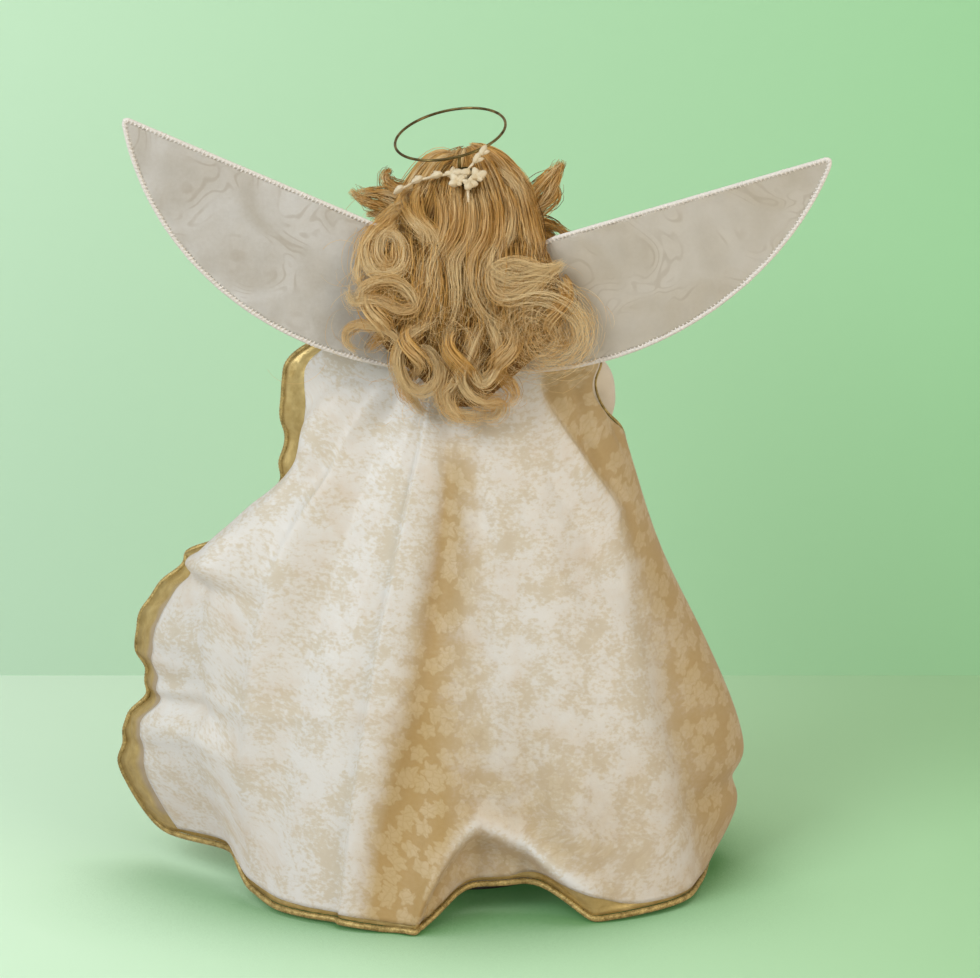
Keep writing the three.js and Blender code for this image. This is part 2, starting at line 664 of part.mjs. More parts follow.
function ringlet({ x, top, bottom, turns: winds }) {
  // A lock wound round its own hanging axis, which stands off just enough for the lock to lie on the hair.
  const radiusAt = (share) => RINGLET_RADIUS * (1 - 0.5 * share * share);
  const coil = steps(14).map((share) => {
    const turn = 2 * Math.PI * winds * share - Math.PI / 2;
    const z = NECK_HEIGHT + mix(top, bottom, share);
    return vec(x + RINGLET_COIL * Math.cos(turn), RINGLET_COIL * Math.sin(turn), z);
  });
  const standOff = Math.max(...coil.flatMap((point, i) => {
    const reach = radiusAt(i / (coil.length - 1));
    return [-0.5, 0, 0.5].map((side) => fallRear(point.x + side * reach, point.z) + reach - point.y);
  }));
  const points = coil.map((point) => point.add(vec(0, standOff, 0)));
  return ringSolid(capped(tubeRings(points, radiusAt, 6)));
}

// The cap is cut to the scalp, whose facets run another way.
const scalp = ellipsoid(HEAD_CENTRE, CAP_INNER, HEAD_ROUND, HEAD_TALL);
place('wig_cap', cut(domeShell(grown(HEAD_RADII, -WIG_CAP_THICKNESS), CAP_OUTER), scalp), MUSLIN);
place('hair_crown', domeShell(CROWN_INNER, CROWN_OUTER), HAIR);
place('hair_fall', hairFall(), HAIR);
for (const [name, side, tuftLine] of [['left', 1, LEFT_TUFT], ['right', -1, RIGHT_TUFT]]) {
  const tuft = (grow) => lock(tuftLine, TUFT_THICK + grow, TUFT_TIP + grow, LOCK_FLATTEN);
  const faceLine = FACE_LOCK.map(([x, y, z]) => [x * side, y, z]);
  const faceLock = lock(faceLine, FACE_LOCK_THICK, FACE_LOCK_TIP, LOCK_FLATTEN);
  place(`side_tuft_${name}`, cut(tuft(0), crownSpace()), HAIR);
  place(`face_lock_${name}`, cut(faceLock, crownSpace(), tuft(SEAT)), HAIR);
}
for (const plan of RINGLETS) place(plan.name, ringlet(plan), HAIR);

// Flower spray and halo, held by a clip on the crown

const crownPoint = (x, y, height) => {
  // A point over the crown hair, above the given place, moved out along the surface's normal.
  const radii = CROWN_OUTER;
  const [dx, dy] = [x - HEAD_CENTRE.x, y - HEAD_CENTRE.y];
  const dz = radii.z * Math.sqrt(1 - (dx / radii.x) ** 2 - (dy / radii.y) ** 2);
  const outward = vec(dx / radii.x ** 2, dy / radii.y ** 2, dz / radii.z ** 2).normalize();
  return vec(x, y, HEAD_CENTRE.z + dz).addScaledVector(outward, height);
};

const stemHeight = SEAT + SPRAY_CLIP_THICKNESS + SPRAY_HEIGHT;
const sprayLine = (places) => places.map(([x, back]) => crownPoint(x, SPRAY_BACK + back, stemHeight));
const LEFT_SPRIG = sprayLine([[0, 0], [11, -1], [21, -5], [29, -10]]);
const UP_SPRIG = sprayLine([[0, 0], [-7, -5], [-14, -9]]);
const TAIL = sprayLine([[0, 0], [-1, 4], [-1.5, 7]]);

function sprayClip() {
  return cylinder(
    SPRAY_CLIP_RADIUS,
    crownPoint(0, SPRAY_BACK, SEAT),
    crownPoint(0, SPRAY_BACK, SEAT + SPRAY_CLIP_THICKNESS),
    14,
  );
}

function sprayStem() {
  const knotRadius = SPRAY_HEIGHT - SEAT;
  const knot = ellipsoid(LEFT_SPRIG[0], vec(knotRadius, knotRadius, knotRadius), 8, 6);
  return joined(knot, ...[LEFT_SPRIG, UP_SPRIG, TAIL].map((line) => tube(line, SPRAY_WIRE_RADIUS, 6)));
}

function bud(line, along) {
  // A bud lying on its wire, pointing along it.
  const spine = new THREE.CatmullRomCurve3(line);
  const [at, ahead] = [spine.getPoint(along), spine.getTangent(along)];
  const outward = at.clone().sub(HEAD_CENTRE).normalize();
  const centre = at.addScaledVector(outward, SPRAY_WIRE_RADIUS + SEAT + BUD_RADIUS);
  const points = steps(4).map((share) => centre.clone().addScaledVector(ahead, BUD_LENGTH * (share - 0.5)));
  const radiusAt = (share) => BUD_RADIUS * (0.35 + 0.65 * Math.sin(Math.PI * Math.min(share + 0.15, 1)));
  return ringSolid(capped(tubeRings(points, radiusAt, 6)));
}

function blossom(turn) {
  // A five-petalled blossom facing out from the crown, set round the knot.
  const round = SPRAY_HEIGHT + BLOSSOM_RADIUS;
  const [x, y] = [round * Math.cos(turn), SPRAY_BACK + round * Math.sin(turn) * 0.8];
  const centre = crownPoint(x, y, stemHeight + SPRAY_WIRE_RADIUS + SEAT);
  const outward = centre.clone().sub(HEAD_CENTRE).normalize();
  const turned = new THREE.Quaternion().setFromUnitVectors(vec(0, 0, 1), outward);
  const petals = (radius, height) => turns(10).map((angle, i) => {
    const lobe = radius * (i % 2 ? 0.72 : 1);
    return vec(lobe * Math.cos(angle), lobe * Math.sin(angle), height).applyQuaternion(turned).add(centre);
  });
  return ringSolid(capped([
    petals(BLOSSOM_RADIUS * 0.4, 0),
    petals(BLOSSOM_RADIUS, BLOSSOM_RADIUS * 0.6),
    petals(BLOSSOM_RADIUS * 0.55, BLOSSOM_RADIUS * 0.8),
  ]));
}

function haloFoot() {
  // On the clip's flat face, beside the knot.
  const face = crownPoint(0, SPRAY_BACK, SEAT + SPRAY_CLIP_THICKNESS);
  const outward = face.clone().sub(crownPoint(0, SPRAY_BACK, 0)).normalize();
  const upSlope = vec(0, -outward.z, outward.y);
  return face.addScaledVector(outward, SEAT + HALO_WIRE_RADIUS / 2)
    .addScaledVector(upSlope, HALO_STEM_FORWARD)
    .add(vec(HALO_SIDE, 0, 0));
}

function halo() {
  // A wire ring that rises forward from its rear point, on a short stem down to the clip.
  const foot = haloFoot();
  const lean = vec(0, Math.sin(HALO_STEM_LEAN * RAD), Math.cos(HALO_STEM_LEAN * RAD));
  const rear = foot.clone().addScaledVector(lean, HALO_STEM);
  const ring = new THREE.TorusGeometry(HALO_RADIUS, HALO_WIRE_RADIUS, 5, 36);
  ring.translate(HALO_RADIUS * Math.sin(HALO_OFF * RAD), -HALO_RADIUS * Math.cos(HALO_OFF * RAD), 0);
  ring.rotateY(HALO_ROLL * RAD);
  ring.rotateX(-HALO_RISE * RAD);
  ring.translate(rear.x, rear.y, rear.z);
  return joined(ring, cylinder(HALO_WIRE_RADIUS, foot, rear, 6));
}

place('spray_clip', sprayClip(), BRASS);
place('spray_stem', sprayStem(), FLOWER_CREAM);
[[LEFT_SPRIG, 0.4], [LEFT_SPRIG, 0.64], [LEFT_SPRIG, 0.9], [UP_SPRIG, 0.6], [UP_SPRIG, 0.95]].forEach(
  ([line, along], i) => place(`bud_${i + 1}`, bud(line, along), FLOWER_CREAM));
[-2.8, -1.9, -0.9, 0.3].forEach((turn, i) => place(`blossom_${i + 1}`, blossom(-turn), FLOWER_CREAM));
place('halo', halo(), BRASS);

// Wings: two layers of organza inside a wired edge, swept back from a stiff patch on the cape

function wingOutline() {
  const point = ([x, y]) => new THREE.Vector2(x, y);
  const tip = point(WING_TIP);
  const shoulder = point(WING_SHOULDER);
  const leading = shoulder.clone().sub(tip).normalize();
  const tipTop = tip.clone().addScaledVector(leading, WING_TIP_ROUND);
  const tipLow = tip.clone().add(new THREE.Vector2(-WING_TIP_ROUND / 4, -WING_TIP_ROUND * 1.5));
  const lower = new THREE.CubicBezierCurve(point(WING_HEEL), ...WING_LOWER_BOW.map(point), tipLow);
  const round = new THREE.QuadraticBezierCurve(tipLow, tip, tipTop);
  const root = new THREE.CubicBezierCurve(shoulder, ...WING_SHOULDER_BOW.map(point), point(WING_ROOT_TOP));
  return [...lower.getPoints(11), ...round.getPoints(3).slice(1), ...root.getPoints(4)];
}

function insetOutline(outline, by) {
  const count = outline.length;
  return outline.map((point, i) => {
    const before = outline[(i + count - 1) % count];
    const after = outline[(i + 1) % count];
    const inA = new THREE.Vector2(before.y - point.y, point.x - before.x).normalize();
    const inB = new THREE.Vector2(point.y - after.y, after.x - point.x).normalize();
    const middle = inA.clone().add(inB).normalize();
    return point.clone().addScaledVector(middle, by / Math.max(middle.dot(inA), 0.5));
  });
}

function wingPanel(low) {
  const shape = new THREE.Shape(insetOutline(wingOutline(), WING_EDGE_RADIUS + SEAT));
  const panel = new THREE.ExtrudeGeometry(shape, { depth: WING_PANEL, bevelEnabled: false });
  return panel.translate(0, 0, low);
}

function wingEdge() {
  const line = wingOutline().map((point) => vec(point.x, point.y, 0));
  return ringSolid(tubeRings(line, () => WING_EDGE_RADIUS, 5, true), true);
}

function wing(name, side, raise) {
  const out = vec(side * Math.cos(WING_SWEEP * RAD), Math.sin(WING_SWEEP * RAD), 0);
  const up = vec(0, 0, 1);
  const [sin, cos] = [Math.sin(raise * RAD), Math.cos(raise * RAD)];
  const along = out.clone().multiplyScalar(cos).addScaledVector(up, sin);
  const over = up.clone().multiplyScalar(cos).addScaledVector(out, -sin);
  const turned = new THREE.Matrix4().makeBasis(along, over, along.clone().cross(over));
  turned.setPosition(side * WING_ROOT_SIDE, WING_PLANE, WING_ROOT_HEIGHT);
  const [near, far] = [SEAT / 2, -SEAT / 2 - WING_PANEL];
  const [rear, front] = side < 0 ? [near, far] : [far, near];
  place(`${name}_wing_edge`, wingEdge().applyMatrix4(turned), SERGED_EDGE);
  place(`${name}_wing_rear_panel`, wingPanel(rear).applyMatrix4(turned), ORGANZA);
  place(`${name}_wing_front_panel`, wingPanel(front).applyMatrix4(turned), ORGANZA);
}

const bracket = new THREE.BoxGeometry(2 * BRACKET_HALF_WIDTH, BRACKET_THICKNESS, BRACKET_HEIGHT);
bracket.translate(0, BRACKET_FRONT + BRACKET_THICKNESS / 2, SHOULDER_HEIGHT + BRACKET_HEIGHT / 2);
place('wing_bracket', bracket, MUSLIN);
wing('left', 1, LEFT_WING_RAISE);
wing('right', -1, RIGHT_WING_RAISE);

// Arms: a stuffed sleeve on the end of the arm wire, a gold cuff and a hand

const SHOULDER_PIVOT = vec(ARM_WIRE_HALF_LENGTH + SEAT, 0, ARM_HEIGHT);
const mirrored = (point, side) => vec(point.x * side, point.y, point.z);

function sleeveLine(side) {
  const points = SLEEVE.map(({ at }) => mirrored(vec(...at).add(SHOULDER_PIVOT), side));
  return new THREE.CatmullRomCurve3(points);
}

function sleeveRadius(share) {
  const place = share * (SLEEVE.length - 1);
  const i = Math.min(Math.floor(place), SLEEVE.length - 2);
  const ease = THREE.MathUtils.smoothstep(place - i, 0, 1);
  return mix(SLEEVE[i].radius, SLEEVE[i + 1].radius, ease);
}

const SLEEVE_STEPS = 12;
const SLEEVE_SIDES = 12;
const sleevePoints = (side) => steps(SLEEVE_STEPS).map((share) => sleeveLine(side).getPoint(share));

const sleeve = (side) => ringSolid(capped(tubeRings(sleevePoints(side), sleeveRadius, SLEEVE_SIDES)));

function cuff(side) {
  // A band over the sleeve's open end.
  const line = sleeveLine(side);
  const from = 1 - CUFF_WIDTH / line.getLength();
  const points = [from, 1].map((share) => line.getPointAt(share));
  const band = (radius) => tubeRings(points, () => radius, SLEEVE_SIDES);
  const widest = Math.max(...SLEEVE.slice(-2).map(({ radius }) => radius));
  const inner = (widest + SEAT) / Math.cos(Math.PI / SLEEVE_SIDES);
  const [innerStart, innerEnd] = band(inner);
  const [outerStart, outerEnd] = band(inner + CUFF_THICKNESS);
  return ringSolid([innerStart, outerStart, outerEnd, innerEnd], true);
}

function hand(side) {
  const line = sleeveLine(side);
  const ahead = line.getTangent(1);
  const start = line.getPoint(1).addScaledVector(ahead, SEAT);
  const reach = ahead.clone().add(vec(0, 0, HAND_TURN_UP)).normalize();
  const points = steps(5).map((share) => {
    const bend = THREE.MathUtils.smoothstep(share, 0, 0.6);
    const direction = ahead.clone().lerp(reach, bend);
    return start.clone().addScaledVector(direction, HAND_LENGTH * share);
  });
  const palmWidths = [1, 0.95, 0.7, 0.3].map((share) => share * PALM_HALF_WIDTH);
  const widths = [WRIST_RADIUS, WRIST_RADIUS, ...palmWidths];
  const radiusAt = (share) => widths[Math.round(share * (widths.length - 1))];
  const flatten = PALM_HALF_THICKNESS / PALM_HALF_WIDTH;
  const palm = ringSolid(capped(tubeRings(points, radiusAt, 8, false, flatten)));
  const thumbTip = points[2].clone()
    .addScaledVector(ahead, THUMB_LENGTH / 2)
    .add(vec(side * (PALM_HALF_WIDTH + THUMB_LENGTH / 3), 0, THUMB_RADIUS));
  return joined(palm, tube([points[1], thumbTip], THUMB_RADIUS, 6));
}

for (const [name, side] of [['left', 1], ['right', -1]]) {
  place(`${name}_sleeve`, sleeve(side), DRESS_SATIN);
  place(`${name}_cuff`, cuff(side), GOLD_LAME);
  place(`${name}_hand`, hand(side), SKIN);
}

export default figure;
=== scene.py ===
import math

import bpy
import mathutils
import numpy as np
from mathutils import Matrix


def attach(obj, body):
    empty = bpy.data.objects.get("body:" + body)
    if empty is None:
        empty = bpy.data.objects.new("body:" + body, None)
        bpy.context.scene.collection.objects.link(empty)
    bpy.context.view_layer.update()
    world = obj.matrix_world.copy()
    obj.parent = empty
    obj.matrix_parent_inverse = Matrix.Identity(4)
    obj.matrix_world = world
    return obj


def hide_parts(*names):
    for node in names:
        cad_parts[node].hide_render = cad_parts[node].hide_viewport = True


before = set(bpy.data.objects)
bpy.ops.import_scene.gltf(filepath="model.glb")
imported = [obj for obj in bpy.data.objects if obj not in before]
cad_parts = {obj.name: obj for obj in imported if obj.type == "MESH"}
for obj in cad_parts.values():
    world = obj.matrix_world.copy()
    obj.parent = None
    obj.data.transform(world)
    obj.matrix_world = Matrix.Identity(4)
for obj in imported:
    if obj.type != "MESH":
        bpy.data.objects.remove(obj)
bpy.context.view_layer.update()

# An angel figurine in a brocade cape, seen from behind. Sizes are in millimetres, as in the solids:
# +X is the figure's left, +Y is behind it and Z is up. Angles on the cape start straight behind and
# grow towards the figure's left.

random = np.random.default_rng(11)
MM = 0.001

# Sizes shared with the solids

NECK_HEIGHT = 292
SHOULDER_HEIGHT = 265
WAIST_HEIGHT = 200
CAPE_NECK_RADIUS = 20
CAPE_HALF_WIDTH = 76
CAPE_BACK_DEPTH = 30
CAPE_FRONT_DEPTH = 50
BORDER_TURN = 14
BORDER_TURN_SPAN = 20
YOKE_SHARE = 0.16
LEFT_BORDER = 88
RIGHT_BORDER_AT_NECK = -84
RIGHT_BORDER_AT_HEM = -124
CAPE_EDGE_RADIUS = 1.5
HEAD_CENTRE = np.array([0, -2, 333])
HEAD_RADII = np.array([25, 28, 33])
CROWN_RADII = np.array([37.6, 40.6, 45.6])
WING_ROOT = np.array([13, 33.4, 286])
WING_SWEEP = 10
HALO_RADIUS = 28.5
SHOULDER_PIVOT = np.array([44.3, 0, 261])

# Angle, reach of the hem, height of the hem, swell of the fold and its share of the way down
CAPE_FOLDS = np.array([
    [-130, 106, 6, 8, 0.7],
    [-110, 116, 5, 4, 0.7],
    [-88, 130, 5, 30, 0.75],
    [-62, 130, 5, 8, 0.7],
    [-35, 119, 4, 12, 0.5],
    [-19, 92, 18, 16, 0.5],
    [-6, 88, 17, 12, 0.5],
    [13, 120, 5, -7, 0.5],
    [33, 120, 5, 12, 0.5],
    [50, 127, 5, 16, 0.5],
    [60, 129, 8, 40, 0.45],
    [70, 131, 20, 62, 0.42],
    [90, 150, 19, 44, 0.71],
])


# Small tools

def ease(t):
    """From 0 to 1 with level ends: 3t squared less 2t cubed, of t held between 0 and 1."""
    t = np.clip(t, 0, 1)
    return t * t * (3 - 2 * t)


def mix(a, b, t):
    """The value a share t of the way from a to b."""
    return a + (b - a) * t


def bump(distance, width):
    """A soft hill: 1 at no distance and about a third at its width."""
    return np.exp(-(distance / width) ** 2)


def unit(vectors):
    """Vectors of length one along the last axis."""
    return vectors / np.maximum(np.linalg.norm(vectors, axis=-1, keepdims=True), 1e-9)


def smooth_line(stops, count):
    """A smooth line through the stops: each stretch is a cubic whose end slopes join its two neighbours."""
    stops = np.asarray(stops, float)
    padded = np.vstack([2 * stops[0] - stops[1], stops, 2 * stops[-1] - stops[-2]])
    place = np.linspace(0, len(stops) - 1, count)
    i = np.minimum(place.astype(int), len(stops) - 2)
    t = (place - i)[:, None]
    a, b, c, d = padded[i], padded[i + 1], padded[i + 2], padded[i + 3]
    bend = (2 * a - 5 * b + 4 * c - d) * t ** 2
    return 0.5 * (2 * b + (c - a) * t + bend + (3 * b - a - 3 * c + d) * t ** 3)


def sheet_shape(points):
    """A grid of points as quads. They face the way of the columns' direction crossed with the rows'."""
    rows, columns = points.shape[:2]
    index = np.arange(rows * columns).reshape(rows, columns)
    corners = [index[:-1, :-1], index[:-1, 1:], index[1:, 1:], index[1:, :-1]]
    return points.reshape(-1, 3), np.stack(corners, -1).reshape(-1, 4), np.empty((0, 3), int)


def skin_shape(rings, closed=False):
    """Rings of points, as (tubes, steps, sides, 3), skinned to tubes. Open tubes end in fans."""
    tubes, steps, sides = rings.shape[:3]
    index = np.arange(tubes * steps * sides).reshape(tubes, steps, sides)
    beside = np.roll(index, -1, 2)
    after = slice(None) if closed else slice(0, -1)
    ahead, ahead_beside = np.roll(index, -1, 1), np.roll(beside, -1, 1)
    corners = [index[:, after], beside[:, after], ahead_beside[:, after], ahead[:, after]]
    quads = np.stack(corners, -1).reshape(-1, 4)
    points = rings.reshape(-1, 3)
    if closed:
        return points, quads, np.empty((0, 3), int)
    first = np.broadcast_to(len(points) + np.arange(tubes)[:, None], (tubes, sides))
    fans = [
        np.stack([first, beside[:, 0], index[:, 0]], -1),
        np.stack([first + tubes, index[:, -1], beside[:, -1]], -1),
    ]
    points = np.concatenate([points, rings[:, 0].mean(1), rings[:, -1].mean(1)])
    return points, quads, np.concatenate(fans).reshape(-1, 3)


def carried_frame(ahead):
    """Two directions square to each line, carried along it step by step without twist."""
    start = np.where(np.abs(ahead[:, 0, 2:]) < 0.9, [[0, 0, 1]], [[1, 0, 0]])
    side = np.empty_like(ahead)
    side[:, 0] = unit(np.cross(start, ahead[:, 0]))
    for step in range(1, ahead.shape[1]):
        before = side[:, step - 1]
        along = (before * ahead[:, step]).sum(-1, keepdims=True)
        side[:, step] = unit(before - along * ahead[:, step])
    return side, np.cross(ahead, side)


def tube_shape(lines, radii, sides, closed=False, flatten=1.0):
    """Round tubes along lines given as (tubes, steps, 3), with a radius for each step."""
    lines = np.asarray(lines, float).reshape((-1,) + np.shape(lines)[-2:])
    radii = np.broadcast_to(radii, lines.shape[:2])
    if closed:
        ahead = unit(np.roll(lines, -1, 1) - np.roll(lines, 1, 1))
    else:
        ahead = unit(np.gradient(lines, axis=1))
    side, over = carried_frame(ahead)
    turn = 2 * np.pi * np.arange(sides)[:, None] / sides
    ring = np.cos(turn) * side[:, :, None] + flatten * np.sin(turn) * over[:, :, None]
    return skin_shape(lines[:, :, None] + radii[:, :, None, None] * ring, closed)


def turned_shape(profile, sides=96):
    """A profile of (radius, height) stops carried round the upright axis."""
    profile = np.asarray(profile, float)
    turn = 2 * np.pi * np.arange(sides) / sides
    x = profile[:, :1] * np.cos(turn)
    y = profile[:, :1] * np.sin(turn)
    z = np.broadcast_to(profile[:, 1:], x.shape)
    return skin_shape(np.stack([x, y, z], -1)[None])


def together(*shapes):
    """Several shapes as one: points in a row, and faces' numbers moved on by the points before."""
    starts = np.cumsum([0] + [len(points) for points, _, _ in shapes])
    points = np.concatenate([shape[0] for shape in shapes])
    quads = np.concatenate([shape[1] + start for shape, start in zip(shapes, starts)])
    triangles = np.concatenate([shape[2] + start for shape, start in zip(shapes, starts)])
    return points, quads, triangles


def put(name, shape, material, replaces=(), body="figure", cloth=None, marks=None):
    """The shape as a mesh object: cloth is a flat place in mm for each point, marks are named numbers."""
    points, quads, triangles = shape
    corners = np.concatenate([quads.ravel(), triangles.ravel()])
    sizes = np.concatenate([np.full(len(quads), 4), np.full(len(triangles), 3)])
    mesh = bpy.data.meshes.new(name)
    mesh.vertices.add(len(points))
    mesh.vertices.foreach_set("co", (points * MM).astype(np.float32).ravel())
    mesh.loops.add(len(corners))
    mesh.loops.foreach_set("vertex_index", corners.astype(np.int32))
    mesh.polygons.add(len(sizes))
    mesh.polygons.foreach_set("loop_start", (np.cumsum(sizes) - sizes).astype(np.int32))
    mesh.polygons.foreach_set("use_smooth", np.ones(len(sizes), bool))
    mesh.update(calc_edges=True)
    if cloth is not None:
        flat = mesh.uv_layers.new(name="cloth")
        flat.data.foreach_set("uv", cloth.reshape(-1, 2)[corners].astype(np.float32).ravel())
    for mark, values in (marks or {}).items():
        attribute = mesh.attributes.new(mark, "FLOAT", "POINT")
        attribute.data.foreach_set("value", np.asarray(values, np.float32).ravel())
    mesh.materials.append(material)
    piece = bpy.data.objects.new(name, mesh)
    bpy.context.scene.collection.objects.link(piece)
    if replaces:
        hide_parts(*replaces)
    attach(piece, body)
    return piece


def thicken(piece, thickness):
    """Gives a sheet its cloth's thickness, inward from the side that shows."""
    cloth = piece.modifiers.new("cloth", "SOLIDIFY")
    cloth.thickness = thickness * MM
    cloth.offset = -1


# Materials

def linear(hex_colour):
    """An sRGB hex colour as the linear colour that shaders use."""
    srgb = np.array([int(hex_colour[i:i + 2], 16) for i in (1, 3, 5)]) / 255
    light = np.where(srgb <= 0.04045, srgb / 12.92, ((srgb + 0.055) / 1.055) ** 2.4)
    return (*light.tolist(), 1.0)


def add(tree, kind, inputs=None, **settings):
    """One node with its settings. Each input is a value, or the socket that feeds it."""
    made = tree.nodes.new("ShaderNode" + kind)
    for key, value in settings.items():
        setattr(made, key, value)
    for key, value in (inputs or {}).items():
        if isinstance(value, bpy.types.NodeSocket):
            tree.links.new(value, made.inputs[key])
        else:
            made.inputs[key].default_value = value
    return made.outputs


def finish(name, make, **inputs):
    """A material whose make function adds nodes and returns the shader's inputs by name."""
    material = bpy.data.materials.new(name)
    material.use_nodes = True
    tree = material.node_tree
    tree.nodes.clear()
    shader = add(tree, "BsdfPrincipled", {**inputs, **make(tree)})[0]
    add(tree, "OutputMaterial", {"Surface": shader})
    return material


def damask_nodes(tree):
    """Woven damask: short shiny float threads draw flowers on a matt ground. Their shine is painted into
    the colour as whiter flecks, a painted sheen, which crowd together in broad patches, so that the cloth
    looks white here and warm beige there. The painted shade mark turns it tan on the folds' shaded sides,
    and whiter as a painted highlight along the arch's ridge."""
    cloth = add(tree, "UVMap", uv_map="cloth")[0]
    sway = add(tree, "TexNoise", {"Vector": cloth, "Scale": 1 / 5, "Detail": 3})["Color"]
    shift = add(tree, "VectorMath", {0: sway, 1: (0.5, 0.5, 0.5)}, operation="SUBTRACT")[0]
    wavy = add(tree, "VectorMath", {0: shift, 1: (5, 5, 0), 2: cloth}, operation="MULTIPLY_ADD")[0]
    flower = add(tree, "TexVoronoi", {"Vector": wavy, "Scale": 1 / 10, "Randomness": 0.9},
                 voronoi_dimensions="2D")
    away = add(tree, "VectorMath", {0: wavy, 1: flower["Position"]}, operation="SUBTRACT")[0]
    parts = add(tree, "SeparateXYZ", {0: away})
    bearing = add(tree, "Math", {0: parts[1], 1: parts[0]}, operation="ARCTAN2")[0]
    phase = add(tree, "SeparateColor", {0: flower["Color"]})[0]
    spin = add(tree, "Math", {0: phase, 1: 6.28}, operation="MULTIPLY")[0]
    five = add(tree, "Math", {0: bearing, 1: 5, 2: spin}, operation="MULTIPLY_ADD")[0]
    lobes = add(tree, "Math", {0: five}, operation="SINE")[0]
    rim = add(tree, "Math", {0: lobes, 1: 0.08, 2: 0.42}, operation="MULTIPLY_ADD")[0]
    inside = add(tree, "Math", {0: rim, 1: flower["Distance"]}, operation="SUBTRACT")[0]
    petals = add(tree, "MapRange", {0: inside, 1: -0.05, 2: 0.05})[0]
    veins = add(tree, "TexVoronoi", {"Vector": wavy, "Scale": 1 / 3.4}, voronoi_dimensions="2D",
                feature="DISTANCE_TO_EDGE")["Distance"]
    leaves = add(tree, "MapRange", {0: veins, 1: 0.0, 2: 0.25, 3: 0.45})[0]
    motif = add(tree, "Math", {0: petals, 1: leaves}, operation="MULTIPLY")[0]

    along_weft = add(tree, "VectorMath", {0: cloth, 1: (1 / 2.6, 1 / 1.9, 0)}, operation="MULTIPLY")[0]
    float_thread = add(tree, "TexNoise", {"Vector": along_weft, "Scale": 1, "Detail": 3,
                                          "Roughness": 0.6})[0]
    bloom = add(tree, "TexNoise", {"Vector": cloth, "Scale": 1 / 22, "Detail": 3, "Roughness": 0.6})[0]
    ragged = add(tree, "Math", {0: motif, 1: 0.06, 2: bloom}, operation="MULTIPLY_ADD")[0]
    frayed = add(tree, "Math", {0: float_thread, 1: 0.9, 2: ragged}, operation="MULTIPLY_ADD")[0]
    # The mark of painted shade and tan, below 0 a painted highlight; its edges are made patchy
    laid = add(tree, "Attribute", attribute_name="painted_shade_and_tan")["Fac"]
    plain = add(tree, "Math", {0: 1.0, 1: laid}, operation="SUBTRACT")[0]
    between = add(tree, "Math", {0: laid, 1: plain}, operation="MULTIPLY")[0]
    patch = add(tree, "MapRange", {0: bloom, 1: 0.3, 2: 0.7, 3: 0.6, 4: -0.6})[0]
    painted_shade_and_tan = add(tree, "Math", {0: between, 1: patch, 2: laid}, operation="MULTIPLY_ADD")[0]
    # Painted sheen: the shiny floats make the pale cloth whiter, less so under the painted shade
    cooler = add(tree, "Math", {0: painted_shade_and_tan, 1: -0.14, 2: frayed}, operation="MULTIPLY_ADD")[0]
    shine = add(tree, "MapRange", {0: cooler, 1: 0.8, 2: 1.04}, interpolation_type="SMOOTHSTEP")[0]
    pale = add(tree, "Mix", {0: shine, 6: linear("#d9d1bd"), 7: linear("#e6e5de")}, data_type="RGBA")[2]
    stain = add(tree, "TexNoise", {"Vector": cloth, "Scale": 1 / 45, "Detail": 6, "Roughness": 0.68})[0]
    warm_tint = add(tree, "MapRange", {0: stain, 1: 0.46, 2: 0.74, 4: 0.42}, interpolation_type="SMOOTHSTEP")[0]
    peach = add(tree, "Mix", {0: warm_tint, 6: pale, 7: linear("#d2b993")}, data_type="RGBA")[2]
    drawn = add(tree, "Math", {0: float_thread, 1: 0.5, 2: motif}, operation="MULTIPLY_ADD")[0]
    figure = add(tree, "MapRange", {0: drawn, 1: 0.2, 2: 1.05})[0]
    # The tan of the painted shade, lighter where the flowers are woven
    tan = add(tree, "Mix", {0: figure, 6: linear("#b69860"), 7: linear("#c5ad7d")}, data_type="RGBA")[2]
    colour = add(tree, "Mix", {0: painted_shade_and_tan, 6: peach, 7: tan}, data_type="RGBA")[2]

    thread = add(tree, "TexWave", {"Vector": cloth, "Scale": 0.32, "Distortion": 0.6, "Detail": 0})["Fac"]
    woven = add(tree, "Math", {0: thread, 1: 0.12, 2: drawn}, operation="MULTIPLY_ADD")[0]
    relief = add(tree, "Bump", {"Height": woven, "Strength": 0.22, "Distance": 0.0003})[0]
    rough = add(tree, "MapRange", {0: figure, 3: 0.62, 4: 0.45})[0]
    return {"Base Color": colour, "Roughness": rough, "Normal": relief}


def lame_nodes(tree):
    """Gold lamé: flat metal threads woven close, creased where the band turns, with a plain grey-beige
    facing along the brocade."""
    place = add(tree, "TexCoord")["Object"]
    crease = add(tree, "TexNoise", {"Vector": place, "Scale": 160, "Detail": 4, "Roughness": 0.6})[0]
    thread = add(tree, "TexWave", {"Vector": place, "Scale": 500, "Distortion": 1.5, "Detail": 1},
                 bands_direction="Z")["Fac"]
    facing = add(tree, "Attribute", attribute_name="facing")["Fac"]
    gold = add(tree, "Mix", {0: crease, 6: linear("#a5853c"), 7: linear("#f0dc9c")}, data_type="RGBA")[2]
    colour = add(tree, "Mix", {0: facing, 6: gold, 7: linear("#b3a184")}, data_type="RGBA")[2]
    metal = add(tree, "MapRange", {0: facing, 3: 0.6, 4: 0.0})[0]
    rough = add(tree, "MapRange", {0: thread, 3: 0.3, 4: 0.48})[0]
    height = add(tree, "Math", {0: thread, 1: 0.06, 2: crease}, operation="MULTIPLY_ADD")[0]
    relief = add(tree, "Bump", {"Height": height, "Strength": 0.5, "Distance": 0.0008})[0]
    return {"Base Color": colour, "Metallic": metal, "Roughness": rough, "Normal": relief}


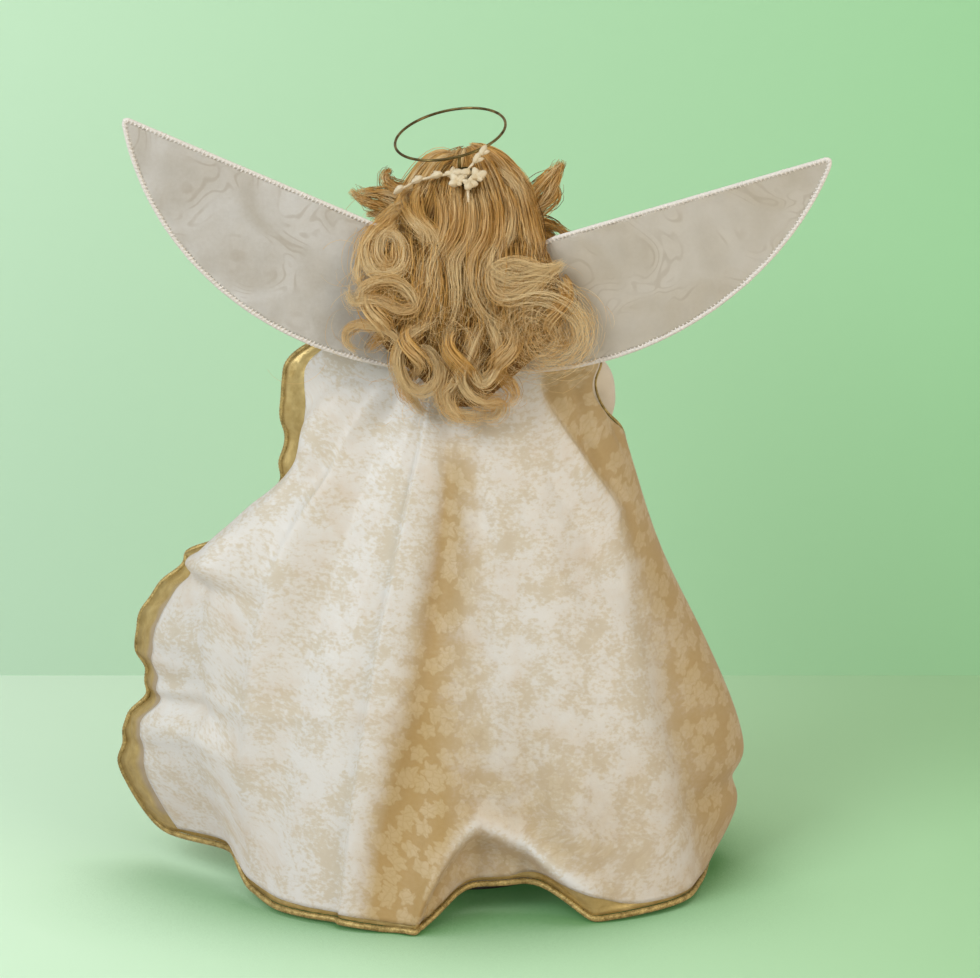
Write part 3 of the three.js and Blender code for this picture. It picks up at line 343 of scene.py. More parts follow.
def cord_nodes(tree):
    """Gold thread wound over a cord: dull old gold, dark between windings and bright where rubbed."""
    place = add(tree, "TexCoord")["Object"]
    rubbed = add(tree, "TexNoise", {"Vector": place, "Scale": 220, "Detail": 4, "Roughness": 0.65})[0]
    winding = add(tree, "TexNoise", {"Vector": place, "Scale": 1100, "Detail": 2})[0]
    height = add(tree, "Math", {0: winding, 1: 0.6, 2: rubbed}, operation="MULTIPLY_ADD")[0]
    bright = add(tree, "MapRange", {0: height, 1: 0.55, 2: 1.05})[0]
    colour = add(tree, "Mix", {0: bright, 6: linear("#806a33"), 7: linear("#dfc680")}, data_type="RGBA")[2]
    relief = add(tree, "Bump", {"Height": height, "Strength": 0.6, "Distance": 0.0006})[0]
    return {"Base Color": colour, "Normal": relief}


def organza_nodes(tree):
    """Crisp sheer organza, two layers whose threads beat into moiré: faint clouds, with thin lines that
    follow their outlines in places, and warmer towards the figure's right."""
    cloth = add(tree, "UVMap", uv_map="cloth")[0]
    swirl = add(tree, "TexNoise", {"Vector": cloth, "Scale": 1 / 40, "Detail": 1.5, "Distortion": 1.3})[0]
    phase = add(tree, "Math", {0: swirl, 1: 64}, operation="MULTIPLY")[0]
    wave = add(tree, "Math", {0: phase}, operation="SINE")[0]
    line = add(tree, "MapRange", {0: wave, 1: 0.3, 2: 1.0}, interpolation_type="SMOOTHSTEP")[0]
    patch = add(tree, "TexNoise", {"Vector": cloth, "Scale": 1 / 22, "Detail": 2})[0]
    shown = add(tree, "MapRange", {0: patch, 1: 0.46, 2: 0.66, 4: 0.28}, interpolation_type="SMOOTHSTEP")[0]
    slub = add(tree, "TexNoise", {"Vector": cloth, "Scale": 1 / 2.2, "Detail": 3, "Roughness": 0.7})[0]
    uneven = add(tree, "Math", {0: slub, 1: 0.3, 2: swirl}, operation="MULTIPLY_ADD")[0]
    cloud = add(tree, "MapRange", {0: uneven, 1: 0.45, 2: 0.85})[0]
    base = add(tree, "Mix", {0: cloud, 6: linear("#cfcabd"), 7: linear("#e6e5df")}, data_type="RGBA")[2]
    place = add(tree, "TexCoord")["Object"]
    across = add(tree, "SeparateXYZ", {0: place})[0]
    # A warmer tint towards the figure's right
    warm_tint = add(tree, "MapRange", {0: across, 1: 0.02, 2: -0.06, 4: 0.45})[0]
    warm = add(tree, "Mix", {0: warm_tint, 6: base, 7: linear("#cfc2a6")}, data_type="RGBA")[2]
    mark = add(tree, "Math", {0: line, 1: shown}, operation="MULTIPLY")[0]
    colour = add(tree, "Mix", {0: mark, 6: warm, 7: linear("#a08f74")}, data_type="RGBA")[2]
    cover = add(tree, "MapRange", {0: patch, 1: 0.3, 2: 0.7, 3: 0.72, 4: 0.84})[0]
    thread = add(tree, "TexWave", {"Vector": cloth, "Scale": 0.5, "Distortion": 0.2})["Fac"]
    relief = add(tree, "Bump", {"Height": thread, "Strength": 0.12, "Distance": 0.0003})[0]
    return {"Base Color": colour, "Alpha": cover, "Normal": relief}


def serged_nodes(tree):
    """Overlocked polyester thread: soft white loops, a little grey between them."""
    place = add(tree, "TexCoord")["Object"]
    fluff = add(tree, "TexNoise", {"Vector": place, "Scale": 900, "Detail": 2})[0]
    colour = add(tree, "Mix", {0: fluff, 6: linear("#e6e0d5"), 7: linear("#f6f3ec")}, data_type="RGBA")[2]
    relief = add(tree, "Bump", {"Height": fluff, "Strength": 0.4, "Distance": 0.0003})[0]
    return {"Base Color": colour, "Normal": relief}


def hair_nodes(tree):
    """Mohair, honey blonde: each strand has its own tone, which carries painted highlight on top of the
    locks and painted shade in the partings and under the locks.
    """
    place = add(tree, "TexCoord")["Object"]
    tone = add(tree, "Attribute", attribute_name="tone")["Fac"]
    drift = add(tree, "TexNoise", {"Vector": place, "Scale": 90, "Detail": 3})[0]
    mixed = add(tree, "Math", {0: drift, 1: 0.35, 2: tone}, operation="MULTIPLY_ADD")[0]
    low = add(tree, "MapRange", {0: mixed, 1: 0.1, 2: 0.6})[0]
    # The palest colour comes mostly where the tone holds painted highlight
    high = add(tree, "MapRange", {0: mixed, 1: 0.6, 2: 1.2})[0]
    body = add(tree, "Mix", {0: low, 6: linear("#704a1c"), 7: linear("#e4b462")}, data_type="RGBA")[2]
    colour = add(tree, "Mix", {0: high, 6: body, 7: linear("#fbe3ae")}, data_type="RGBA")[2]
    rough = add(tree, "MapRange", {0: drift, 3: 0.4, 4: 0.55})[0]
    return {"Base Color": colour, "Roughness": rough}


def brass_nodes(tree):
    """Antiqued brass wire: brown patina with brighter rubbed places."""
    place = add(tree, "TexCoord")["Object"]
    rub = add(tree, "TexNoise", {"Vector": place, "Scale": 130, "Detail": 4, "Roughness": 0.65})[0]
    worn = add(tree, "MapRange", {0: rub, 1: 0.42, 2: 0.68})[0]
    colour = add(tree, "Mix", {0: worn, 6: linear("#5a5033"), 7: linear("#a3905a")}, data_type="RGBA")[2]
    rough = add(tree, "MapRange", {0: worn, 3: 0.5, 4: 0.28})[0]
    return {"Base Color": colour, "Roughness": rough}


def petal_nodes(tree):
    """Dipped starch flowers: cream, waxy and browner in the hollows."""
    place = add(tree, "TexCoord")["Object"]
    patch = add(tree, "TexNoise", {"Vector": place, "Scale": 260, "Detail": 3})[0]
    colour = add(tree, "Mix", {0: patch, 6: linear("#cdb380"), 7: linear("#f5edd2")}, data_type="RGBA")[2]
    relief = add(tree, "Bump", {"Height": patch, "Strength": 0.3, "Distance": 0.0004})[0]
    return {"Base Color": colour, "Normal": relief}


def satin_nodes(tree):
    """Ivory satin: close warp threads with a soft lustre, and faint shade between the gathers."""
    place = add(tree, "TexCoord")["Object"]
    slub = add(tree, "TexNoise", {"Vector": place, "Scale": 60, "Detail": 4})[0]
    weave = add(tree, "TexWave", {"Vector": place, "Scale": 330, "Distortion": 1.0},
                bands_direction="Z")["Fac"]
    colour = add(tree, "Mix", {0: slub, 6: linear("#d9cbb0"), 7: linear("#efe6d4")}, data_type="RGBA")[2]
    rough = add(tree, "MapRange", {0: weave, 3: 0.38, 4: 0.5})[0]
    relief = add(tree, "Bump", {"Height": weave, "Strength": 0.1, "Distance": 0.0003})[0]
    return {"Base Color": colour, "Roughness": rough, "Normal": relief}


def spot(tree, place, x, z, width, height, soft):
    """1 inside an upright oval on both sides of the face, and 0 outside it."""
    middle = (x * MM, 0, z * MM)
    size = (1 / (width * MM), 0, 1 / (height * MM))
    away = add(tree, "VectorMath", {0: place, 1: middle}, operation="SUBTRACT")[0]
    scaled = add(tree, "VectorMath", {0: away, 1: size}, operation="MULTIPLY")[0]
    length = add(tree, "VectorMath", {0: scaled}, operation="LENGTH")["Value"]
    return add(tree, "MapRange", {0: length, 1: 1 + soft, 2: 1 - soft}, interpolation_type="SMOOTHSTEP")[0]


def bisque_nodes(tree):
    """Bisque porcelain, fired matt, with a doll's painted face: blush, brown eyes with a painted reflection
    in each, brows, rose lips.
    """
    object_place = add(tree, "TexCoord")["Object"]
    both = add(tree, "VectorMath", {0: object_place}, operation="ABSOLUTE")[0]
    front = add(tree, "SeparateXYZ", {0: object_place})[1]
    ahead = add(tree, "MapRange", {0: front, 1: -0.012, 2: -0.018})[0]
    bloom = add(tree, "TexNoise", {"Vector": object_place, "Scale": 45, "Detail": 3})[0]
    colour = add(tree, "Mix", {0: bloom, 6: linear("#e6bfa6"), 7: linear("#f3d6c3")}, data_type="RGBA")[2]
    # Middle (x, z), half width, half height, softness of the rim, paint and its strength
    paints = [
        (15, 320, 6.5, 5, 0.9, "#d98f7c", 0.55),
        (9.5, 331.2, 4.4, 2.2, 0.12, "#f4efe8", 1.0),
        (9.5, 331.0, 2.0, 2.1, 0.1, "#5a3b1e", 1.0),
        (9.5, 331.0, 0.95, 1.0, 0.15, "#120c08", 1.0),
        # A white dot in each eye: a painted reflection
        (10.1, 331.8, 0.45, 0.45, 0.3, "#ffffff", 1.0),
        (9.6, 333.4, 4.6, 0.55, 0.5, "#4a2f1a", 0.9),
        (9.8, 338.6, 4.8, 0.6, 0.7, "#8a6234", 0.75),
        (0, 314.6, 4.4, 1.0, 0.4, "#b9554f", 0.9),
        (0, 312.6, 3.6, 1.2, 0.4, "#c4655d", 0.9),
    ]
    for x, z, width, height, soft, paint, strength in paints:
        inside = spot(tree, both, x, z, width, height, soft)
        on_face = add(tree, "Math", {0: inside, 1: ahead}, operation="MULTIPLY")[0]
        share = add(tree, "Math", {0: on_face, 1: strength}, operation="MULTIPLY")[0]
        colour = add(tree, "Mix", {0: share, 6: colour, 7: linear(paint)}, data_type="RGBA")[2]
    grain = add(tree, "TexNoise", {"Vector": object_place, "Scale": 1400, "Detail": 2})[0]
    relief = add(tree, "Bump", {"Height": grain, "Strength": 0.08, "Distance": 0.0002})[0]
    return {"Base Color": colour, "Normal": relief}


def grained_nodes(dark, light, scale, strength):
    """A plain stuff with a grain of the given scale per metre between two colours."""
    def nodes(tree):
        place = add(tree, "TexCoord")["Object"]
        grain = add(tree, "TexNoise", {"Vector": place, "Scale": scale, "Detail": 5})[0]
        colour = add(tree, "Mix", {0: grain, 6: linear(dark), 7: linear(light)}, data_type="RGBA")[2]
        relief = add(tree, "Bump", {"Height": grain, "Strength": strength, "Distance": 0.0005})[0]
        return {"Base Color": colour, "Normal": relief}
    return nodes


DAMASK = finish("ivory damask", damask_nodes, **{"Sheen Weight": 0.25, "Sheen Roughness": 0.4})
LAME = finish("gold lame", lame_nodes)
GOLD_CORD = finish("gold cord", cord_nodes, Metallic=0.45, Roughness=0.5)
ORGANZA = finish("sheer organza", organza_nodes, Roughness=0.5)
SERGED = finish("overlocked thread", serged_nodes, Roughness=0.8)
HAIR = finish("mohair", hair_nodes, **{"Specular IOR Level": 0.28})
BRASS = finish("antiqued brass", brass_nodes, Metallic=1.0)
PETALS = finish("starched flowers", petal_nodes, Roughness=0.55)
SATIN = finish("ivory satin", satin_nodes, **{"Sheen Weight": 0.2})
BISQUE = finish("painted bisque", bisque_nodes, Roughness=0.5)
FELT = finish("wool felt", grained_nodes("#4a4a43", "#6d6c62", 700, 0.6), Roughness=0.95)
PLASTER = finish("cast plaster", grained_nodes("#cfcdc5", "#e4e2db", 120, 0.2), Roughness=0.6)
CARD = finish("brown card", grained_nodes("#a58a63", "#c4a981", 220, 0.3), Roughness=0.9)
MUSLIN = finish("cotton muslin", grained_nodes("#d8cdb8", "#ece3d2", 500, 0.4), Roughness=0.9)
STEEL = finish("drawn steel wire", grained_nodes("#757570", "#9c9c97", 300, 0.1),
               Roughness=0.4, Metallic=1.0)


# Base and body, hidden under the clothes

def rounded_disc(radius, low, high, round_edge):
    """A flat disc whose rims are quarter rounds, as a profile turned round the upright axis."""
    turn = np.linspace(0, np.pi / 2, 7)
    middle = radius - round_edge
    out, up = round_edge * np.sin(turn), round_edge * (1 - np.cos(turn))
    under = np.stack([middle + out, low + up], 1)
    over = np.stack([middle + out[::-1], high - up[::-1]], 1)
    flat_under = [[radius * share, low] for share in (0.3, 0.7)]
    flat_over = [[radius * share, high] for share in (0.7, 0.3)]
    return turned_shape(np.concatenate([flat_under, under, over, flat_over]))


FELT_RADIUS, FELT_TOP = 51, 1.5
BASE_RADIUS, BASE_FOOT, BASE_TOP = 53, 1.8, 9.8
put("felt_foot", rounded_disc(FELT_RADIUS, 0, FELT_TOP, 0.4), FELT, ["felt_pad"])
put("plaster_base", rounded_disc(BASE_RADIUS, BASE_FOOT, BASE_TOP, 1.2), PLASTER, ["base_disc"])
for node, material in (
    ("body_cone", CARD), ("arm_wire", STEEL), ("wig_cap", MUSLIN),
    ("wing_bracket", MUSLIN), ("spray_clip", BRASS),
):
    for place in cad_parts[node].material_slots:
        place.material = material


# Dress

def bodice_shape():
    """Ovals from the waist to the chest, which widen and swell half-way, with fine upright gathers."""
    share = np.linspace(0, 1, 40)[:, None]
    turn = np.linspace(0, 2 * np.pi, 240, endpoint=False)
    swell = 2 * np.sin(np.pi * share) + 1.5 + 0.35 * np.cos(36 * turn) * (1 - 0.6 * np.sin(np.pi * share))
    half_width = mix(23, 38, ease(share)) + swell
    half_depth = 20 + swell
    z = mix(WAIST_HEIGHT + 0.3, 274.7, share) + 0 * turn
    return skin_shape(np.stack([half_width * np.cos(turn), half_depth * np.sin(turn), z], -1)[None])


CONE_FOOT = 10.1
CONE_FOOT_RADIUS = 46
CONE_TOP_RADIUS = 20


def skirt_points(rows, columns):
    """A cone from the waist that widens to the hem in soft folds, fuller in front than behind."""
    share = np.linspace(0, 1, rows)[:, None]
    turn = np.linspace(0, 2 * np.pi, columns)
    front = (1 - np.sin(turn)) / 2
    z = mix(WAIST_HEIGHT - 0.3, 14, share) + 0 * turn
    cone = mix(CONE_FOOT_RADIUS, CONE_TOP_RADIUS, (z - CONE_FOOT) / (WAIST_HEIGHT - CONE_FOOT))
    sway = 12 * turn + 0.5 * np.sin(3 * turn) + 0.4 * np.sin(3 * share + 2 * turn)
    fold = mix(3, 8, front) * np.cos(sway) * (0.35 + 0.65 * share)
    gather = 0.5 * np.cos(48 * turn) * (1 - share)
    radius = cone + 1.6 + share * (mix(6, 34, front) + fold) + gather
    return np.stack([radius * np.cos(turn), radius * np.sin(turn), z], -1)


put("satin_bodice", bodice_shape(), SATIN, ["bodice", "torso"])
# The last column of the skirt's grid lies on the first, so its faces join there
SKIRT_COLUMNS = 241
SKIRT_CLOTH = 0.6
skirt_grid, skirt_quads, no_triangles = sheet_shape(skirt_points(60, SKIRT_COLUMNS))
last_column = skirt_quads % SKIRT_COLUMNS == SKIRT_COLUMNS - 1
skirt_quads = np.where(last_column, skirt_quads - SKIRT_COLUMNS + 1, skirt_quads)[:, ::-1]
skirt = put("satin_skirt", (skirt_grid, skirt_quads, no_triangles), SATIN, ["skirt"])
thicken(skirt, SKIRT_CLOTH)


# Cape: brocade, its gold lining and the rolled edge

# Share of the way down the cape and how far the left border waves outward there
BORDER_WAVE = np.array([
    [0.0, 0], [0.2, 5], [0.26, 9], [0.32, 15], [0.37, 2], [0.41, -18], [0.445, -16], [0.49, 15],
    [0.54, 26], [0.6, 24], [0.66, 15], [0.71, 2], [0.76, -9], [0.82, -8], [0.9, 0], [1.0, 2],
])


def wave_at(v):
    """How far the left border waves out at a share of the way down, eased from stop to stop."""
    i = np.clip(np.searchsorted(BORDER_WAVE[:, 0], v) - 1, 0, len(BORDER_WAVE) - 2)
    low, high = BORDER_WAVE[i], BORDER_WAVE[i + 1]
    return mix(low[..., 1], high[..., 1], ease((v - low[..., 0]) / (high[..., 0] - low[..., 0])))


def fold_at(angle):
    """Reach, lift, swell and its place at an angle, eased from fold to fold."""
    i = np.clip(np.searchsorted(CAPE_FOLDS[:, 0], angle) - 1, 0, len(CAPE_FOLDS) - 2)
    low, high = CAPE_FOLDS[i], CAPE_FOLDS[i + 1]
    share = ease((angle - low[..., 0]) / (high[..., 0] - low[..., 0]))
    return np.moveaxis(mix(low[..., 1:], high[..., 1:], share[..., None]), -1, 0)


# How far the left side is drawn in at its waist and in the hollow below it
WAIST_DRAW = 25
HOLLOW_DRAW = 14


def cape_surface(angle, v):
    """The cape's main form. Over the shoulders it is a quarter oval from the neck; below, it runs from the
    shoulders' oval to the hem's reach and swells on the way by a half wave. The left side draws in at a
    waist and again in a hollow further down."""
    angle, v = np.broadcast_arrays(np.asarray(angle, float), np.asarray(v, float))
    sin, cos = np.sin(np.radians(angle)), np.cos(np.radians(angle))
    depth = np.where(cos > 0, CAPE_BACK_DEPTH, CAPE_FRONT_DEPTH)
    shoulder = 1 / np.hypot(sin / CAPE_HALF_WIDTH, cos / depth)
    reach, lift, swell, swell_at = fold_at(angle)
    near_border = np.clip(1 - (LEFT_BORDER - angle) / BORDER_TURN_SPAN, 0, 1) ** 2
    turn_out = (BORDER_TURN + wave_at(v)) * near_border
    yoke = np.clip(v / YOKE_SHARE, 0, 1) * np.pi / 2
    t = np.clip((v - YOKE_SHARE) / (1 - YOKE_SHARE), 0, None)
    flare = 1.04 * t * t / (t + 0.04)
    half_wave = np.sin(np.pi * t ** (np.log(0.5) / np.log(swell_at)))
    hang_radius = mix(shoulder, reach, flare) + swell * half_wave
    yoke_radius = mix(CAPE_NECK_RADIUS, shoulder, np.sin(yoke))
    radius = np.where(v < YOKE_SHARE, yoke_radius, hang_radius)
    left_side = ease((angle - 56) / 18)
    waist = WAIST_DRAW * bump(v - 0.325, 0.08)
    hollow = HOLLOW_DRAW * ease((v - 0.47) / 0.05) * ease((0.79 - v) / 0.06)
    radius = radius + turn_out * np.sin(yoke) - left_side * (waist + hollow)
    yoke_height = mix(SHOULDER_HEIGHT, NECK_HEIGHT, np.cos(yoke))
    z = np.where(v < YOKE_SHARE, yoke_height, mix(SHOULDER_HEIGHT, lift, t))
    return np.stack([radius * sin, radius * cos, z], -1)


# Share of the way down, and the angle of each fold there
FIRST_CREST = ([0.2, 1.0], [25, 27])
CREASE = ([0.2, 1.0], [31, 33])
VALLEY = ([0.3, 0.5, 0.7, 0.9], [9, 13, 16, 18])
RIGHT_FOLD = (
    [0.18, 0.27, 0.33, 0.38, 0.44, 0.53, 0.66, 0.8, 1.0],
    [-57, -65, -70, -73, -68, -62, -58, -56, -58],
)
# Angle and share of the way down of the arch's top, and how far its two sides run and come down
ARCH_TOP = (-2, 0.893)
ARCH_LEFT = (15, 0.107)
ARCH_RIGHT = (38, 0.075)
# Heights of the crests and of the arch's ridge, and depths of the hollows beside them
FIRST_CREST_HEIGHT = 3
CREASE_DEPTH = 3.2
VALLEY_DEPTH = 6
DRAG_DEPTH = 2.4
RIGHT_FOLD_HEIGHT = 4.5
TUCK_DEPTH = 3
PLEAT_DEPTHS = (2.4, 2.2)
ARCH_RIDGE = 4
ARCH_DROP = 7.5
NOTCH_DEPTH = 7
RIPPLE = 0.3
# Share of the way down, height and run of each pucker
PUCKERS = np.array([[0.59, 1.2, 16], [0.645, 1.6, 24], [0.735, 2.8, 50], [0.82, 1.8, 26], [0.87, 1.2, 16]])


def arch_at(angle):
    """Share of the way down of the arch over the lifted hem, and how much of it there is, from 0 to 1."""
    left = np.clip((angle - ARCH_TOP[0]) / ARCH_LEFT[0], 0, None)
    right = np.clip((ARCH_TOP[0] - angle) / ARCH_RIGHT[0], 0, None)
    arch = ARCH_TOP[1] + ARCH_LEFT[1] * left ** 2.6 + ARCH_RIGHT[1] * ease(right) ** 0.8
    return arch, ease((1.1 - left) / 0.4) * ease((1.05 - right) / 0.4)


def cape_detail(angle, v, reach):
    """Height of the finer folds over the main form: two crests, a crease and a valley beside the first, a
    dragged fold on the left, a tuck and two pleats beside the second crest, the arch over the lifted hem,
    puckers that run in from the left border, a notch low on the right, and a slow ripple."""
    hang = ease((v - 0.14) / 0.2)
    across = angle - np.interp(v, *FIRST_CREST)
    height = FIRST_CREST_HEIGHT * hang * np.where(across > 0, bump(across, 14), bump(across, 8))
    past_crease = angle - np.interp(v, *CREASE)
    tucked = ease((past_crease + 1.2) / 1.2) * np.clip(1 - past_crease / 7, 0, 1)
    height = height - CREASE_DEPTH * hang * tucked
    height = height - VALLEY_DEPTH * ease((v - 0.6) / 0.3) * bump(angle - np.interp(v, *VALLEY), 9)
    drag = bump(angle - 53 - 97 * (v - 0.22), 5) * ease((v - 0.15) / 0.08) * ease((0.48 - v) / 0.12)
    height = height - DRAG_DEPTH * drag
    past_fold = angle - np.interp(v, *RIGHT_FOLD)
    steep = mix(2.5, 9, ease((v - 0.36) / 0.2))
    crest = np.where(past_fold > 0, bump(past_fold, 17), bump(past_fold, steep))
    height = height + RIGHT_FOLD_HEIGHT * hang * crest
    upper = ease((v - 0.13) / 0.05)
    tucked = ease((1.4 - past_fold) / 2) * np.clip(1 + past_fold / 7, 0, 1)
    height = height - TUCK_DEPTH * upper * ease((0.45 - v) / 0.08) * tucked
    first_pleat = ease((0.37 - v) / 0.1) * bump(angle + 69.5, 3)
    second_pleat = ease((0.34 - v) / 0.1) * bump(angle + 79 + 40 * (v - 0.15), 2.5)
    height = height - upper * (PLEAT_DEPTHS[0] * first_pleat + PLEAT_DEPTHS[1] * second_pleat)
    arch, rise = arch_at(angle)
    below = ease((v - arch + 0.008) / 0.07)
    height = height + rise * (ARCH_RIDGE * bump(v - arch, 0.026) - ARCH_DROP * below)
    from_border = np.radians(LEFT_BORDER - angle) * reach
    for at, tall, run in PUCKERS:
        line = v - at + 0.0006 * from_border
        height = height + tall * bump(line, 0.014) * np.exp(-np.clip(from_border, 0, None) / run)
    height = height - NOTCH_DEPTH * bump(v - 0.865, 0.03) * bump(angle + 95, 24)
    ripple = np.sin(angle / 3.1 + 9 * v) * np.sin(17 * v + angle / 11) + np.sin(angle / 5.3 - 21 * v)
    return height + RIPPLE * hang * ripple


def cape_points(angle, v, inset):
    """The cape with its finer folds, moved inward by inset along the main form's normal."""
    step_angle, step_v = 1.5, 0.01
    across = cape_surface(angle + step_angle, v) - cape_surface(angle - step_angle, v)
    down = cape_surface(angle, v + step_v) - cape_surface(angle, np.maximum(v - step_v, 0))
    outward = unit(np.cross(across, down))
    points = cape_surface(angle, v)
    reach = np.hypot(points[..., 0], points[..., 1])
    return points + outward * (cape_detail(angle, v, reach) - inset)[..., None]


SLEEVE_BAY = 15


def right_border(v):
    """Angle of the right border at a share of the way down, with a bay that shows the top of the sleeve."""
    return mix(RIGHT_BORDER_AT_NECK, RIGHT_BORDER_AT_HEM, v) + SLEEVE_BAY * bump(v - 0.19, 0.075)


def cape_rows(hem_gap, yoke_rows, hang_rows):
    """Shares of the way down, closer together over the shoulders."""
    yoke = np.linspace(0, YOKE_SHARE, yoke_rows, endpoint=False)
    hem = 1 - (1 - YOKE_SHARE) * hem_gap / SHOULDER_HEIGHT
    return np.concatenate([yoke, np.linspace(YOKE_SHARE, hem, hang_rows)])[:, None]


def cape_angles(v, left_band, right_band, columns):
    """Angles from the right border to the left one, each set in by its band's width."""
    right = right_border(v)
    left = LEFT_BORDER + 0 * v
    reach_right = np.hypot(*np.moveaxis(cape_surface(right, v), -1, 0)[:2])
    reach_left = np.hypot(*np.moveaxis(cape_surface(left, v), -1, 0)[:2])
    right = right + np.degrees(right_band / reach_right)
    left = left - np.degrees(left_band / reach_left)
    share = np.linspace(0, 1, columns)
    return mix(right, left, share)


def flat_cloth(points):
    """Where each point lay on the flat cloth, in mm: the cape unrolls to a fan, so a point is at its
    distance down the cape from the fan's tip, turned by its distance along the row over that."""
    fan_tip = 46
    steps = np.linalg.norm(np.diff(points, axis=0), axis=-1)
    down = fan_tip + np.vstack([np.zeros((1, points.shape[1])), np.cumsum(steps, 0)])
    steps = np.linalg.norm(np.diff(points, axis=1), axis=-1)
    along = np.hstack([np.zeros((points.shape[0], 1)), np.cumsum(steps, 1)])
    turn = (along - along[:, points.shape[1] * 3 // 5, None]) / down
    return np.stack([down * np.sin(turn), down * np.cos(turn)], -1)


LEFT_BAND = 17
RIGHT_BAND = 6
CAPE_CLOTH = 0.5
LINING_INSET = 1.4


def brocade_painted_shade_and_tan(angle, v):
    """How tan the cloth is, from 0 to 1: painted shade in the valley beside the first crest and past the
    fold on the right, on the sides that face away from the key lamp, and a tan low down behind and in the
    middle. Below 0 it is a painted highlight, whiter than plain, along the ridge over the arch."""
    # Painted shade in the valley and past the right fold, where the cloth faces away from the key lamp
    across = angle - np.interp(v, *VALLEY)
    valley = 0.85 * ease((13 - across) / 11) * np.where(across < 0, bump(across, 16), 1)
    past_fold = np.interp(v, *RIGHT_FOLD) - angle
    right = 0.85 * ease((past_fold + 5) / mix(8, 24, ease((v - 0.36) / 0.2)))
    low = ease((v - 0.62) / 0.3) * (0.45 * bump(angle + 16, 34) + 0.25 * bump(angle - 15, 11))
    arch, rise = arch_at(angle)
    # Painted highlight: whiter along the top of the arch's ridge
    ridge = rise * bump(v - arch + 0.004, 0.015) * ease((12 - angle) / 14)
    behind = 0.03 + 0.12 * bump(angle + 20, 40)
    tan = np.clip(behind + valley * ease((v - 0.2) / 0.14) + right + low, 0, 1)
    return tan * (1 - 0.8 * ridge) - 0.15 * ridge


def brocade():
    """The brocade sheet. Its hem stops short of the lining's, most of all beside the arch."""
    rows = cape_rows(0, 26, 126)
    left_band = mix(8, LEFT_BAND, ease((rows - YOKE_SHARE) / 0.12))
    right_band = mix(0.6, RIGHT_BAND, ease((rows - 0.3) / 0.2))
    angle = cape_angles(rows, left_band, right_band, 300)
    gap = 2 + 9 * bump(angle + 31, 9) + 2 * ease((angle - 30) / 30)
    v = np.where(rows > YOKE_SHARE, YOKE_SHARE + (rows - YOKE_SHARE) * (1 - gap / SHOULDER_HEIGHT), rows)
    points = cape_points(angle, v, 0)
    # The brocade carries its painted shade and tan as a mark
    piece = put("brocade_cape", sheet_shape(points), DAMASK, ["cape"],
                cloth=flat_cloth(points), marks={"painted_shade_and_tan": brocade_painted_shade_and_tan(angle, v)})
    thicken(piece, CAPE_CLOTH)
    return piece


def lining():
    """The lamé lining just inside the brocade. It creases across the band that shows along the borders."""
    v = cape_rows(0, 20, 120)
    angle = cape_angles(v, 0, 0, 191)
    reach = np.hypot(*np.moveaxis(cape_surface(angle, v), -1, 0)[:2])
    from_left = np.radians(LEFT_BORDER - angle) * reach
    from_right = np.radians(angle - right_border(v)) * reach
    from_hem = (1 - v) / (1 - YOKE_SHARE) * SHOULDER_HEIGHT
    from_edge = np.minimum(np.minimum(from_left, from_right), from_hem)
    crease = np.sin(150 * v + 0.3 * from_left) + 0.6 * np.sin(83 * v - 0.2 * from_left)
    ruck = 0.5 * crease * bump(from_left - LEFT_BAND / 2, LEFT_BAND / 2.6)
    tuck = 0.9 * bump(from_edge - 3, 1.6)
    points = cape_points(angle, v, LINING_INSET + tuck - ruck)
    facing = ease((from_edge - LEFT_BAND + 7) / 2)
    piece = put("lame_lining", sheet_shape(points), LAME, ["cape_lining"],
                marks={"facing": facing})
    thicken(piece, CAPE_CLOTH)
    return piece


def rolled_edge():
    """A corded roll along the left border, the hem and the right border, wound with fine stitches. It thins
    out towards the right shoulder."""
    beyond = CAPE_EDGE_RADIUS + 0.3
    rows = np.linspace(0, 1, 240)
    hem_v = 1 + (1 - YOKE_SHARE) * beyond / SHOULDER_HEIGHT
    side_rows = rows * hem_v
    reach = np.hypot(*np.moveaxis(cape_surface(LEFT_BORDER + 0 * rows, side_rows), -1, 0)[:2])
    left = cape_points(LEFT_BORDER + np.degrees(beyond / reach), side_rows, 1)
    hem_angles = np.linspace(LEFT_BORDER, RIGHT_BORDER_AT_HEM, 700)[6:-6]
    hem = cape_points(hem_angles, hem_v + 0 * hem_angles, 1)
    right_angles = right_border(side_rows)
    reach = np.hypot(*np.moveaxis(cape_surface(right_angles, side_rows), -1, 0)[:2])
    right = cape_points(right_angles - np.degrees(beyond / reach), side_rows, 1)[::-1]
    line = np.concatenate([left, hem, right])
    for _ in range(6):
        line[1:-1] = (line[:-2] + 2 * line[1:-1] + line[2:]) / 4
    length = np.concatenate([[0], np.cumsum(np.linalg.norm(np.diff(line, axis=0), axis=1))])
    even = np.linspace(0, length[-1], 1500)
    line = np.stack([np.interp(even, length, line[:, axis]) for axis in range(3)], -1)
    line[:, 2] = np.maximum(line[:, 2], 1.2 * CAPE_EDGE_RADIUS)
    narrow = ease((even - length[-1] + 130) / 60)
    radius = CAPE_EDGE_RADIUS * mix(1, 0.4, narrow) * (1 + 0.07 * np.sin(2 * np.pi * even / 1.6))
    return put("gold_rolled_edge", tube_shape(line, radius, 12), GOLD_CORD, ["cape_edge"])


cape = brocade()
cape_lining = lining()
cape_roll = rolled_edge()


# Head with a calm doll's face, neck and shoulder plate in one casting

